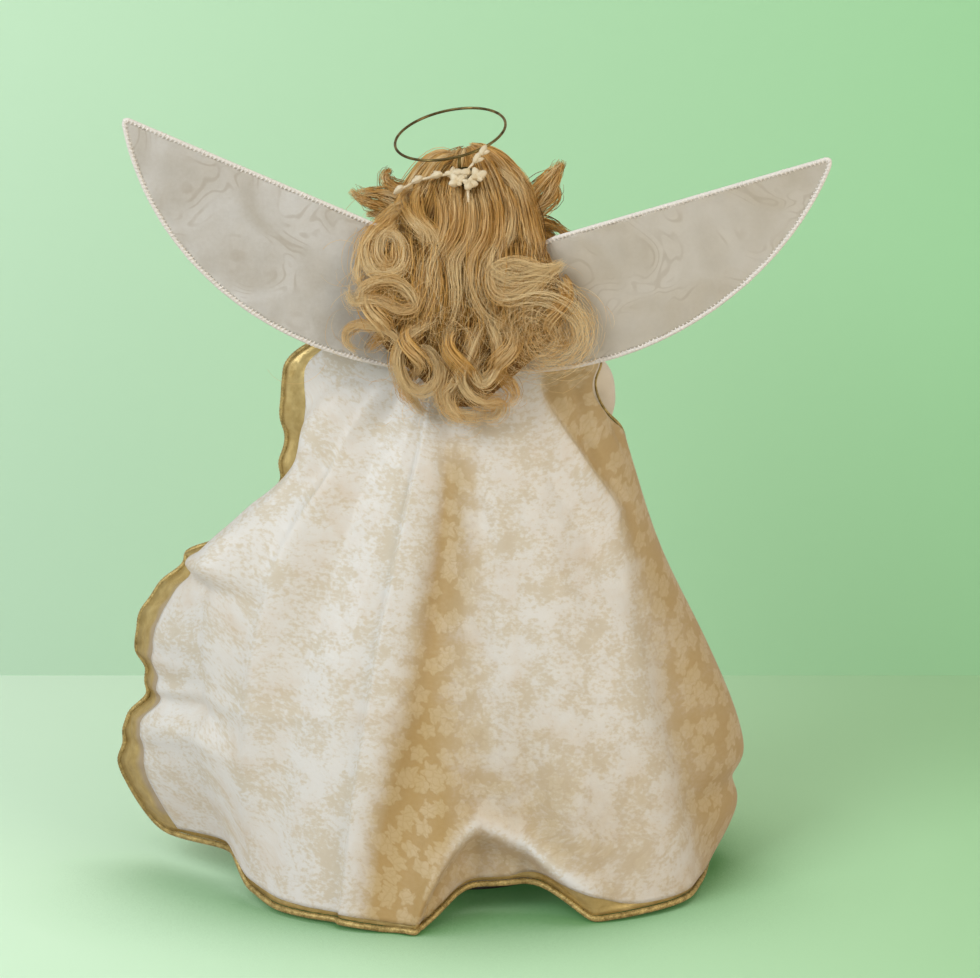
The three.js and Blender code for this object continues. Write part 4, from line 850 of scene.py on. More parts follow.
def head_shape():
    """A ball of directions from the head's middle. Each reaches the skull's oval or the jaw's, whichever is
    further, and soft hills on the front make brow, nose, cheeks, lips and chin."""
    down = np.linspace(0.02, np.pi - 0.02, 150)[:, None]
    turn = np.linspace(0, 2 * np.pi, 200, endpoint=False)
    way = np.stack([np.sin(down) * np.cos(turn), np.sin(down) * np.sin(turn), np.cos(down) + 0 * turn], -1)
    skull = 1 / np.linalg.norm(way / HEAD_RADII, axis=-1)
    jaw_middle, jaw_radii = np.array([0, -11, -20]), np.array([15, 15, 13])
    a = ((way / jaw_radii) ** 2).sum(-1)
    b = (way * jaw_middle / jaw_radii ** 2).sum(-1)
    inside = b * b - a * (((jaw_middle / jaw_radii) ** 2).sum() - 1)
    jaw = np.where(inside > 0, (b + np.sqrt(np.maximum(inside, 0))) / a, 0)
    points = way * (1.5 * np.logaddexp(skull / 1.5, jaw / 1.5))[..., None]
    x, z = np.abs(points[..., 0]), points[..., 2]
    nose = 4.6 * bump(x, 2.5) * ease((z + 13.5) / 3) * (0.25 + 0.75 * ease((6 - z) / 15))
    nose = nose + 1.3 * bump(np.hypot(x - 2.6, z + 11.2), 1.7)
    eyes = -2.6 * bump((x - 9.5) / 6, 1) * bump(z + 1.5, 4.2)
    eyes = eyes + 1.7 * bump(np.hypot((x - 9.5) / 1.9, z + 1.9), 2.1)
    brows = 0.9 * bump(z - 5, 2.6) * bump(x - 9, 7)
    lips = 1.5 * bump(x / 5, 1) * (bump(z + 18.4, 1.1) + 1.1 * bump(z + 20.6, 1.2))
    lips = lips - 0.7 * bump(z + 19.4, 0.5) * bump(x, 4.5)
    soft = 1.6 * bump(np.hypot(x - 13, z + 12), 7) + 2.0 * bump(np.hypot(x, z + 27), 5)
    front = ease((-points[..., 1] - 6) / 8)
    points[..., 1] -= front * (nose + eyes + brows + lips + soft)
    return skin_shape((points + HEAD_CENTRE)[None])


def neck_shape():
    """Ovals that flare from the neck to the shoulder plate."""
    # Height, half width and half depth
    stops = np.array([
        [318, 9.5, 9.5], [304, 10.3, 10.3], [297, 11.3, 11.2], [292, 15, 13.5], [287.5, 25, 17.5],
        [283, 34, 19.8], [279, 38.6, 20.7], [275.4, 39.6, 21],
    ])
    rings = smooth_line(stops, 60)
    turn = np.linspace(0, 2 * np.pi, 120, endpoint=False)
    x, y = rings[:, 1:2] * np.cos(turn), rings[:, 2:] * np.sin(turn)
    return skin_shape(np.stack([x, y, rings[:, :1] + 0 * turn], -1)[None][:, ::-1])


put("bisque_head", together(head_shape(), neck_shape()), BISQUE, ["shoulder_head"])


def ring_band(middle, around, over, radius, half_width, half_thick, gathers, depth):
    """A soft band round an axis: an oval section carried round a circle, with shallow gathers."""
    turn = np.linspace(0, 2 * np.pi, 240, endpoint=False)
    section = np.linspace(0, 2 * np.pi, 14, endpoint=False)
    outward = np.cos(turn)[:, None] * around[0] + np.sin(turn)[:, None] * around[1]
    wave = 1 + depth * np.cos(gathers * turn)
    reach = radius + half_thick * wave[:, None] * np.cos(section)
    along = half_width * np.sin(section) * wave[:, None]
    points = middle + reach[..., None] * outward[:, None] + along[..., None] * over
    return skin_shape(points[None], closed=True)


X_AXIS, Y_AXIS, Z_AXIS = np.eye(3)
put("lame_neck_band", ring_band(np.array([0, 0, 294.4]), (X_AXIS, Y_AXIS), Z_AXIS, 20, 1.7, 3, 44, 0.12),
    LAME, ["neck_band"])


# Arms: stuffed sleeves, gold cuffs and hands

# Place from the shoulder's pivot, and the sleeve's radius there
SLEEVE = np.array([
    [0, 0, 0, 11], [5, 0, 0, 13], [17, -13, -4, 15], [19, -22, -22, 14],
    [13, -32, -40, 12.5], [2, -47, -47, 12], [-7, -58, -49, 13.5],
])


def sleeve_line(side, count):
    """The sleeve's middle line with its radius as a fourth number, from shoulder to wrist."""
    stops = SLEEVE.astype(float).copy()
    stops[:, :3] += SHOULDER_PIVOT
    stops[:, 0] *= side
    return smooth_line(stops, count)


def sleeve_shape(side):
    """A stuffed tube along the arm, gathered at both ends and slack in folds inside the elbow."""
    line = sleeve_line(side, 90)
    ahead = unit(np.gradient(line[None, :, :3], axis=1))
    across, over = carried_frame(ahead)
    turn = np.linspace(0, 2 * np.pi, 120, endpoint=False)
    share = np.linspace(0, 1, len(line))[:, None]
    ends = bump(share, 0.16) + bump(1 - share, 0.14)
    elbow = bump(share - 0.6, 0.14) * (0.5 + 0.5 * np.cos(turn - np.pi / 2))
    radius = line[:, 3:] * (0.97 + 0.05 * ends * np.cos(18 * turn) + 0.05 * elbow * np.sin(60 * share))
    radius = radius * np.sqrt(np.clip(share / 0.03, 0.2, 1))
    ring = np.cos(turn)[:, None] * across[0][:, None] + np.sin(turn)[:, None] * over[0][:, None]
    return skin_shape((line[:, None, :3] + radius[..., None] * ring)[None])


def hand_shape(side):
    """A slim open hand: a flat palm from the wrist, four fingers that curve a little, and a thumb."""
    line = sleeve_line(side, 200)[:, :3]
    ahead = unit(line[-1] - line[-2])
    start = line[-1] - 2 * ahead
    reach = unit(ahead + 0.35 * Z_AXIS)
    across = unit(np.cross(reach, Z_AXIS)) * -side
    over = unit(np.cross(across, reach)) * side
    over = over * np.sign(over[2])
    palm_line = smooth_line([start, start + 6 * ahead, start + 6 * ahead + 6 * reach,
                             start + 6 * ahead + 13 * reach], 24)
    palm_radius = np.interp(np.linspace(0, 1, len(palm_line)), [0, 0.35, 0.75, 1], [4.2, 4.3, 6.2, 5.6])
    shapes = [tube_shape(palm_line, palm_radius, 20, flatten=0.55)]
    knuckles = start + 6 * ahead + 11 * reach
    for place, length in ((-4.3, 9.5), (-1.5, 11.5), (1.4, 11), (4.2, 8.6)):
        root = knuckles + place * across
        stops = [root, root + 0.5 * length * reach, root + 0.95 * length * reach - 0.16 * length * over]
        shapes.append(tube_shape(smooth_line(stops, 14), np.linspace(1.75, 1.15, 14), 12))
    thumb_root = start + 7 * ahead
    thumb = [thumb_root + out * across + on * reach for out, on in ((3, 0), (7.5, 4), (8, 9))]
    shapes.append(tube_shape(smooth_line(thumb, 14), np.linspace(2.1, 1.3, 14), 12))
    return together(*shapes)


CUFF_RADIUS = 14.7
CUFF_HALF_WIDTH = 2.6
for name, side in (("left", 1), ("right", -1)):
    arm = f"{name}_arm"
    sleeve = put(f"{name}_satin_sleeve", sleeve_shape(side), SATIN, [f"{name}_sleeve"], arm)
    end = sleeve_line(side, 200)[:, :3]
    along_arm = unit(end[-1] - end[-8])
    round_arm = unit(np.cross(along_arm, Z_AXIS))
    around = (round_arm, np.cross(along_arm, round_arm))
    cuff = ring_band(end[-1] - CUFF_HALF_WIDTH * along_arm, around, along_arm, CUFF_RADIUS,
                     CUFF_HALF_WIDTH, 0.9, 40, 0.1)
    put(f"{name}_lame_cuff", cuff, LAME, [f"{name}_cuff"], arm)
    hand = put(f"{name}_bisque_hand", hand_shape(side), BISQUE, [f"{name}_hand"], arm)
    fused = hand.modifiers.new("one skin", "REMESH")
    fused.mode = "VOXEL"
    fused.voxel_size = 0.4 * MM
    fused.use_smooth_shade = True
    smooth = hand.modifiers.new("fired smooth", "SMOOTH")
    smooth.factor = 0.5
    smooth.iterations = 6


# Wings: two layers of organza inside an overlocked, wired edge

def cubic(a, b, c, d, count):
    """A cubic bow from a to d that leaves towards b and arrives from c."""
    t = np.linspace(0, 1, count)[:, None]
    a, b, c, d = (np.asarray(point, float) for point in (a, b, c, d))
    return a * (1 - t) ** 3 + 3 * b * t * (1 - t) ** 2 + 3 * c * t ** 2 * (1 - t) + d * t ** 3


def evenly(line, count):
    """The same line with its points at even distances."""
    length = np.concatenate([[0], np.cumsum(np.linalg.norm(np.diff(line, axis=0), axis=1))])
    even = np.linspace(0, length[-1], count)
    return np.stack([np.interp(even, length, line[:, axis]) for axis in range(line.shape[1])], -1)


WING_TOP = np.concatenate([
    cubic([2, 20], [8, 40], [20, 53], [30, 57], 40),
    mix(np.array([30, 57.0]), np.array([157.2, 107]), np.linspace(0, 1, 80)[1:, None]),
])
WING_TIP = cubic([160, 103], [160.8, 106.5], [160.6, 108.5], [157.2, 107], 14)


def wing_lower(side):
    """The wing's lower bow from root to tip. The right one is cut a little slimmer."""
    slim = 0 if side > 0 else 4
    return cubic([0, -14], [80 - slim, -12], [144 - slim, 36 + slim], [160, 103], 90)


WING_LAYER = 0.4
WING_CLOTH = 0.1
EDGE_CORD_RADIUS = 1.05
EDGE_THREAD_RADIUS = 0.42
STITCH = 2.1


def wing_place(flat, side, raise_by, off=0.0):
    """Points (out, up) of the wing's pattern in place: turned up, swept back and set at its root."""
    sweep, raised = np.radians(WING_SWEEP), np.radians(raise_by)
    out = np.array([side * np.cos(sweep), np.sin(sweep), 0])
    along = out * np.cos(raised) + Z_AXIS * np.sin(raised)
    over = Z_AXIS * np.cos(raised) - out * np.sin(raised)
    behind = np.array([-side * np.sin(sweep), np.cos(sweep), 0])
    root = WING_ROOT * [side, 1, 1]
    off = np.asarray(off)[..., None]
    return root + flat[..., :1] * along + flat[..., 1:] * over + off * behind


def wing_sheet(side, raise_by, layer):
    """Organza between the lower bow and the top edge, slightly slack, with small pulls at the edge."""
    lower = evenly(np.concatenate([wing_lower(side), WING_TIP[1:7]]), 110)
    top = evenly(np.concatenate([WING_TOP, WING_TIP[:6:-1]]), 110)
    share = np.linspace(0.012, 0.988, 44)[:, None, None]
    flat = mix(lower, top, share)
    middle = np.sin(np.pi * share[..., 0])
    slack = 0.9 * np.sin(flat[..., 0] / 17 + 2 * layer) * np.sin(flat[..., 1] / 14 + layer) * middle
    pulls = 0.35 * np.sin(flat[..., 0] / 1.9) * (1 - middle) ** 2
    off = layer * (WING_LAYER + 0.5 * middle) + 0.6 * slack + pulls
    points = wing_place(flat, side, raise_by, off)
    return points, flat


def wing_outline(side):
    """The whole edge as one closed line of even steps, in the pattern's own plane."""
    root = mix(np.array([2, 20.0]), np.array([0, -14.0]), np.linspace(0, 1, 20)[1:-1, None])
    line = np.concatenate([wing_lower(side), WING_TIP[1:], WING_TOP[::-1][1:], root])
    return evenly(np.concatenate([line, line[:1]]), 700)[:-1]


def overlock(line, side, raise_by):
    """Thread laid over the edge: it runs round the cord once per stitch, a little flattened and uneven."""
    outline = evenly(np.concatenate([line, line[:1]]), 3400)
    length = np.concatenate([[0], np.cumsum(np.linalg.norm(np.diff(outline, axis=0), axis=1))])
    ahead = unit(np.gradient(outline, axis=0))
    inward = np.stack([-ahead[:, 1], ahead[:, 0]], -1)
    turns = np.round(length[-1] / STITCH)
    turn = 2 * np.pi * turns * length / length[-1]
    wide = 1.0 + 0.15 * np.sin(length / 3.1) + 0.1 * np.sin(length / 1.7)
    flat = outline + inward * (wide * np.cos(turn) + 0.3)[:, None]
    return tube_shape(wing_place(flat, side, raise_by, 0.95 * np.sin(turn)), EDGE_THREAD_RADIUS, 5)


for name, side, raise_by in (("left", 1, 3), ("right", -1, -3.8)):
    body = f"{name}_wing"
    for layer, layer_name in ((1, "rear"), (-1, "front")):
        points, flat = wing_sheet(side, raise_by, layer)
        if side > 0:
            points, flat = points[:, ::-1], flat[:, ::-1]
        cloth = flat + [170 * (side < 0) + 90 * (layer < 0), 40 * layer]
        sheet = put(f"{name}_organza_{layer_name}", sheet_shape(points), ORGANZA,
                    [f"{name}_wing_{layer_name}_panel"], body, cloth)
        thicken(sheet, WING_CLOTH)
    outline = wing_outline(side)
    cord = tube_shape(wing_place(outline, side, raise_by), EDGE_CORD_RADIUS, 10, closed=True)
    edge = put(f"{name}_overlocked_edge", together(cord, overlock(outline, side, raise_by)), SERGED,
               [f"{name}_wing_edge"], body)


# Halo and flower spray

def halo_shape():
    """A wire ring that rises forward from its rear, on a short stem down to the clip."""
    foot = np.array([3, 23.154, 372.24])
    lean = np.radians(14)
    rear = foot + 7 * np.array([0, np.sin(lean), np.cos(lean)])
    turn = np.linspace(0, 2 * np.pi, 180, endpoint=False)
    off, roll, rise = np.radians([10, 11, 18])
    flat_x = HALO_RADIUS * (np.cos(turn) + np.sin(off))
    flat_y = HALO_RADIUS * (np.sin(turn) - np.cos(off))
    rolled_x, rolled_z = flat_x * np.cos(roll), -flat_x * np.sin(roll)
    y = flat_y * np.cos(rise) + rolled_z * np.sin(rise)
    z = -flat_y * np.sin(rise) + rolled_z * np.cos(rise)
    ring = rear + np.stack([rolled_x, y, z], -1)
    stem = mix(foot, rear + 0.5 * Z_AXIS, np.linspace(0, 1, 10)[:, None])
    return together(tube_shape(ring, 0.7, 12, closed=True), tube_shape(stem, 0.8, 12))


put("brass_halo", halo_shape(), BRASS, ["halo"], "halo")


def crown_point(x, y, height):
    """A point over the crown hair above the given place, moved out along the crown's normal."""
    flat = np.array([x, y]) - HEAD_CENTRE[:2]
    dz = CROWN_RADII[2] * np.sqrt(1 - ((flat / CROWN_RADII[:2]) ** 2).sum())
    off = np.array([flat[0], flat[1], dz])
    return HEAD_CENTRE + off + height * unit(off / CROWN_RADII ** 2)


SPRAY_BACK = 24
STEM_HEIGHT = 4.4
SPRIG_STEPS = 100
# Places along each sprig: sideways, back from the knot and height over the crown
LEFT_SPRIG = [[0, 0, STEM_HEIGHT], [11, -1, 4.8], [21, -5, 6], [29, -10, 8]]
UP_SPRIG = [[0, 0, STEM_HEIGHT], [-4, -4, 7], [-7, -8, 10]]
TAIL = [[0, 0, STEM_HEIGHT], [-1, 5, 4], [-1.5, 9, 4]]


def spray_line(places, count=40):
    """A sprig's wire: a smooth line over the crown through the given places."""
    stops = np.array([crown_point(x, SPRAY_BACK + back, height) for x, back, height in places])
    return smooth_line(stops, count)


def bud_shape(middle, ahead, length, radius):
    """A drop with five soft furrows: widest a third of the way along and pointed at its tip."""
    share = np.linspace(0, 1, 12)[:, None]
    turn = np.linspace(0, 2 * np.pi, 20, endpoint=False)
    drop = np.sqrt(np.sin(np.pi * np.clip(share ** 0.75, 0.02, 0.98)))
    swell = radius * drop * (1 + 0.08 * np.cos(5 * turn))
    across, over = carried_frame(unit(ahead)[None, None])
    ring = np.cos(turn)[:, None] * across[0] + np.sin(turn)[:, None] * over[0]
    line = middle + length * (share - 0.5) * unit(ahead)
    return skin_shape((line[:, None] + swell[..., None] * ring)[None])


def spray_stem_shape():
    """Three wrapped wires that meet in a knot."""
    wires = [tube_shape(spray_line(places), 0.7, 8) for places in (LEFT_SPRIG, UP_SPRIG, TAIL)]
    knot = crown_point(0, SPRAY_BACK, STEM_HEIGHT)
    return together(bud_shape(knot, X_AXIS, 6, 2.2), *wires)


put("spray_wires", spray_stem_shape(), PETALS, ["spray_stem"])
for number, (sprig, along) in enumerate(
    [(LEFT_SPRIG, 0.38), (LEFT_SPRIG, 0.64), (LEFT_SPRIG, 0.92), (UP_SPRIG, 0.6), (UP_SPRIG, 0.95)], 1,
):
    line = spray_line(sprig, SPRIG_STEPS + 1)
    at = int(SPRIG_STEPS * along)
    ahead = unit(line[min(at + 3, SPRIG_STEPS)] - line[at - 3])
    outward = unit(line[at] - HEAD_CENTRE)
    beside = np.cross(outward, ahead)
    shapes = [bud_shape(line[at] + 0.8 * outward, ahead + 0.2 * beside, 6.6, 1.7)]
    shapes.append(bud_shape(line[at] + 0.4 * outward - 1.8 * beside, ahead - 0.9 * beside, 4.4, 1.2))
    put(f"cream_bud_{number}", together(*shapes), PETALS, [f"bud_{number}"])


def blossom_shape(turn_to, height):
    """A half-open blossom: four fat petals that close on each other round the way out from the crown."""
    round_knot = 5.6
    back = SPRAY_BACK + 0.8 * round_knot * np.sin(turn_to)
    middle = crown_point(round_knot * np.cos(turn_to), back, height)
    outward = unit(middle - HEAD_CENTRE)
    across = unit(np.cross(outward, Z_AXIS))
    over = np.cross(across, outward)
    shapes = []
    for petal in np.arange(4) * np.pi / 2 + turn_to:
        way = np.cos(petal) * across + np.sin(petal) * over
        size = 1 + 0.25 * np.sin(2.7 * petal)
        shapes.append(bud_shape(middle + 1.9 * way, way + 0.5 * outward, 5.2 * size, 1.9 * size))
    return together(*shapes)


# The last blossom sits lower, clear of the halo's tilt
for number, (turn_to, height) in enumerate([(2.8, 5.8), (1.9, 5.8), (0.9, 5.8), (-0.15, 3.6)], 1):
    shape = blossom_shape(turn_to, height)
    put(f"cream_blossom_{number}", shape, PETALS, [f"blossom_{number}"])


# Hair: dark base forms, painted shade under the hair, with locks of separate strands over them

CROWN_STEPS = 16
LOCK_STEPS = 24
FALL_TOP = 352
FALL_BOTTOM = 252
FALL_FRONT = 35.4


def fall_front(x):
    """Front of the hanging hair, just behind the swept wings."""
    return FALL_FRONT + np.maximum(np.abs(x) - WING_ROOT[0], 0) * np.tan(np.radians(WING_SWEEP))


FALL_WIDTHS = [34, 50, 58, 60, 50, 32, 14]


def fall_rear(x, z):
    """Rear of the hanging hair: the front's place and the thickness of the fall there."""
    share = np.clip((FALL_TOP - z) / (FALL_TOP - FALL_BOTTOM), 0, 1)
    half = np.interp(share, np.linspace(0, 1, 7), FALL_WIDTHS)
    side = np.clip(np.abs(x) / half, 0, 1)
    across = 3 + 10 * np.sqrt(1 - side ** 2)
    return fall_front(x) + across * mix(0.25, 1, ease(share / 0.4))


def dome_shape(shrink):
    """The crown's dark base, its darkness painted shade under the locks: an oval shell over the back and
    top of the head, set in by shrink.
    """
    lean = np.radians(50)
    down = np.linspace(0.02, np.radians(84), 50)[:, None]
    turn = np.linspace(0, 2 * np.pi, 90, endpoint=False)
    x, y = np.sin(down) * np.cos(turn), np.sin(down) * np.sin(turn)
    z = np.cos(down) + 0 * turn
    way = np.stack([x, y * np.cos(lean) + z * np.sin(lean), z * np.cos(lean) - y * np.sin(lean)], -1)
    return skin_shape((HEAD_CENTRE + way * (CROWN_RADII - shrink))[None][:, ::-1])


def fall_shape(shrink):
    """The fall's dark base, its darkness painted shade under the locks: upright lens-shaped sections that
    widen and close again, set in by shrink.
    """
    share = np.linspace(0.14, 0.96, 40)[:, None]
    turn = np.linspace(0, 2 * np.pi, 80, endpoint=False)
    half = np.interp(share, np.linspace(0, 1, 7), FALL_WIDTHS) - 4 * shrink
    z = mix(FALL_TOP, FALL_BOTTOM, share) + 0 * turn
    x = half * np.cos(turn)
    front, rear = fall_front(x), fall_rear(x, z) - shrink
    y = mix(front, rear, (1 + np.sin(turn)) / 2)
    return skin_shape(np.stack([x, y, z], -1)[None][:, ::-1])


def hair_depth(x, z):
    """How far back the hair's surface lies: the crown's oval above, the hanging fall below."""
    inside = 1 - (x / CROWN_RADII[0]) ** 2 - ((z - HEAD_CENTRE[2]) / CROWN_RADII[2]) ** 2
    crown = HEAD_CENTRE[1] + CROWN_RADII[1] * np.sqrt(np.maximum(inside, 0.01))
    return mix(crown, np.maximum(crown, fall_rear(x, z)), ease((358 - z) / 14))


def strands(lines, count, spread, radius, tones, wave):
    """Hairs about each lock's line: every hair keeps its own place in the lock's section, most of them
    near its middle, sways slowly and quivers finely on its way, and begins and ends at its own share of
    the line. Hairs on the outside are painted lighter and those far from the lock's middle darker, as
    painted highlight and painted shade, and painted highlight runs in bands along each lock. Returns the
    shape and each point's tone."""
    lines = np.asarray(lines, float)
    locks, steps = lines.shape[:2]
    side, over = carried_frame(unit(np.gradient(lines, axis=1)))
    share = np.linspace(0, 1, steps)
    own = (locks, count, 1)
    room = np.broadcast_to(spread, (locks, steps))[:, None]

    def sway(least, most):
        return np.sin(share * random.uniform(least, most, own) + random.uniform(0, 2 * np.pi, own))

    loose = wave * random.gamma(2.0, 0.5, own) * (0.3 + 0.7 * share)
    off_a = 0.55 * random.normal(0, 1, own) * room + loose * (sway(2, 8) + 0.2 * sway(16, 34))
    off_b = 0.45 * random.normal(0, 1, own) * room + loose * (sway(2, 8) + 0.2 * sway(16, 34))
    off = off_a[..., None] * side[:, None] + off_b[..., None] * over[:, None]
    hairs = lines[:, None] + off
    outer = np.clip(off[..., 1] / room, -1.2, 1.2)
    rim = np.clip(np.hypot(off[..., 0], off[..., 2]) / room, 0, 1.4)
    place = mix(random.uniform(0, 0.1, own), 1 - random.uniform(0, 0.5, own) ** 2, share) * (steps - 1)
    before = np.minimum(place.astype(int), steps - 2)
    start = np.take_along_axis(hairs, before[..., None], 2)
    end = np.take_along_axis(hairs, before[..., None] + 1, 2)
    hairs = mix(start, end, (place - before)[..., None]).reshape(locks * count, steps, 3)
    shape = tube_shape(hairs, radius * (1 - 0.7 * share ** 3), 3)
    # Painted highlight: bands of lighter tone along each lock
    shine = 0.2 * np.sin(share * random.uniform(4, 9, (locks, 1, 1)) + random.uniform(0, 6, (locks, 1, 1)))
    # Painted highlight on the lock's outside and painted shade far from its middle
    layer = 0.16 * outer - 0.2 * rim ** 2 + 0.2
    tone = np.reshape(tones, (-1, 1, 1)) + random.normal(0, 0.06, own) + shine + layer
    return shape, np.concatenate([np.repeat(tone.ravel(), 3), tone[..., 0].ravel(), tone[..., -1].ravel()])


def hair_piece(name, parts, replaces):
    """Several bundles of strands, or dark forms with one tone, as one piece."""
    shapes = [shape for shape, _ in parts]
    tones = np.concatenate([np.broadcast_to(tone, len(shape[0])) for shape, tone in parts])
    return put(name, together(*shapes), HAIR, replaces, marks={"tone": tones})


def crown_place(bearing, lean, lift):
    """A point on the crown at a bearing from straight behind and a lean from straight up, in degrees."""
    bearing, lean = np.radians(bearing), np.radians(lean)
    way = np.stack([np.sin(lean) * np.sin(bearing), np.sin(lean) * np.cos(bearing), np.cos(lean)], -1)
    return HEAD_CENTRE + way * (CROWN_RADII + np.asarray(lift)[..., None])


def combed_lines(bearings, first, last, lift):
    """Locks combed down the crown from near its top, each at its own bearing with a slight wander. The hair
    rises on both sides of a parting near the top."""
    lean = np.linspace(first, last, CROWN_STEPS)
    wander = 2.5 * np.sin(lean / 17 + random.uniform(0, 6.3, (len(bearings), 1)))
    points = crown_place(bearings[:, None] + wander, lean + 0 * wander, lift[:, None] + 0 * wander)
    top = ease((points[..., 2] - 362) / 12)
    points[..., 2] += top * (2.2 - 4 * bump(points[..., 0] - 6, 5))
    return points


def hanging_line(bearing, end_x, end_z, wave):
    """A lock that comes down the crown, then hangs over the fall in waves that grow towards its end."""
    top = crown_place(bearing, np.array([40, 60, 80]), np.full(3, -2.0))
    start = top[-1]
    share = np.linspace(0.12, 1, 9)
    phase = share * 8 + bearing / 13
    x = mix(start[0], end_x, ease(share)) + wave * share * np.sin(phase)
    z = mix(start[2], end_z, share)
    y = hair_depth(x, z) - 1 + 0.4 * wave * share * np.cos(phase)
    return smooth_line(np.concatenate([top, np.stack([x, y, z], -1)]), LOCK_STEPS)


def laid_line(places, off):
    """A lock through places (x, z) seen from behind, that stands off the hair, more in its middle."""
    flat = smooth_line(places, LOCK_STEPS)
    share = np.linspace(0, 1, LOCK_STEPS)
    y = hair_depth(flat[:, 0], flat[:, 1]) + off * (0.4 + 0.6 * np.sin(np.pi * share))
    for _ in range(4):
        y[1:-1] = (y[:-2] + 2 * y[1:-1] + y[2:]) / 4
    return np.stack([flat[:, 0], y, flat[:, 1]], -1)


def arc_lines(count, middle, scatter, radii, off):
    """Loose hairs: arcs of circles scattered about a middle (x, z), off the hair's surface."""
    centre = np.asarray(middle) + random.normal(0, 1, (count, 2)) * scatter
    radius = random.uniform(*radii, (count, 1))
    first = random.uniform(0, 2 * np.pi, (count, 1))
    turn = first + np.linspace(0, 1, CROWN_STEPS) * random.uniform(1.2, 3.6, (count, 1))
    x = centre[:, :1] + radius * np.cos(turn)
    z = centre[:, 1:] + radius * np.sin(turn)
    y = hair_depth(x, z) + random.uniform(*off, (count, 1))
    return np.stack([x, y, z], -1)


def ringlet_line(x, top, bottom, winds):
    """A lock wound round its own hanging axis."""
    share = np.linspace(0, 1, LOCK_STEPS)
    turn = 2 * np.pi * winds * share - np.pi / 2
    px, pz = x + 4.5 * np.cos(turn), mix(top, bottom, share)
    return np.stack([px, fall_rear(px, pz) + 3 + 4.5 * np.sin(turn), pz], -1)


def tapered(wide, start, end):
    """A lock's half width along its length: it opens from its start and closes to its end."""
    return wide * np.interp(np.linspace(0, 1, LOCK_STEPS), [0, 0.3, 0.75, 1], [start, 1, 1, end])


INNER_LOCKS = 60
OUTER_LOCKS = 40
crown_bearings = np.concatenate([np.linspace(-112, 112, INNER_LOCKS), np.linspace(-100, 100, OUTER_LOCKS)])
crown_bearings = crown_bearings + random.normal(0, 1.5, len(crown_bearings))
crown_lift = np.concatenate([np.full(INNER_LOCKS, -2.2), random.uniform(-1.4, 0.6, OUTER_LOCKS)])
crown_lift = crown_lift + 0.9 * np.sin(crown_bearings / 6)
crown_tones = 0.42 + 0.18 * np.sin(crown_bearings / 6) + random.normal(0, 0.08, len(crown_bearings))
crown_spread = 2.8 * np.linspace(0.6, 1.3, CROWN_STEPS)
crown_lines = combed_lines(crown_bearings, 4, 101, crown_lift)
crown_locks = strands(crown_lines, 19, crown_spread, 0.2, crown_tones, 0.5)
hair_piece("hair_crown_locks", [crown_locks, (dome_shape(3.5), 0.0)], ["hair_crown"])

front_lines = []
for side in (1, -1):
    for part in np.linspace(0, 1, 13):
        bearing = mix(178, 104, np.linspace(0, 1, 8) ** mix(0.55, 1.3, part)) * side
        lean = mix(8, 92, np.linspace(0, 1, 8)) * mix(0.8, 1.0, part) + mix(6, 0, part)
        front_lines.append(smooth_line(crown_place(bearing, lean, np.full(8, -2.0)), CROWN_STEPS))
front_tones = 0.4 + random.normal(0, 0.1, len(front_lines))
front_locks = strands(front_lines, 34, 3.2, 0.24, front_tones, 0.5)
hair_piece("hair_front_locks", [front_locks], [])

FALL_LOCKS = 32
FALL_BEARING = 74
fall_plan = []
for bearing in np.linspace(-FALL_BEARING, FALL_BEARING, FALL_LOCKS) + random.normal(0, 2, FALL_LOCKS):
    aside = bearing / FALL_BEARING
    end_x = 40 * aside + random.normal(0, 5)
    end_z = 264 + 34 * abs(aside) + random.uniform(-6, 16)
    fall_plan.append((bearing, end_x, end_z, random.uniform(3, 6)))
fall_lines = np.array([hanging_line(*plan) for plan in fall_plan])
# The fall's locks lie under the others: their low tone, lowest in the middle, is painted shade
fall_tones = 0.04 + 0.006 * np.abs(fall_lines[:, -1, 0]) + random.normal(0, 0.08, len(fall_lines))
for number, chosen in enumerate(np.array_split(np.argsort(fall_lines[:, -1, 0]), 2), 1):
    parts = [strands(fall_lines[chosen], 38, tapered(5.5, 0.6, 0.6), 0.22, fall_tones[chosen], 1.3)]
    if number == 2:
        parts.append((fall_shape(2.5), 0.0))
    hair_piece(f"hair_fall_locks_{number}", parts, ["hair_fall"] if number == 2 else [])
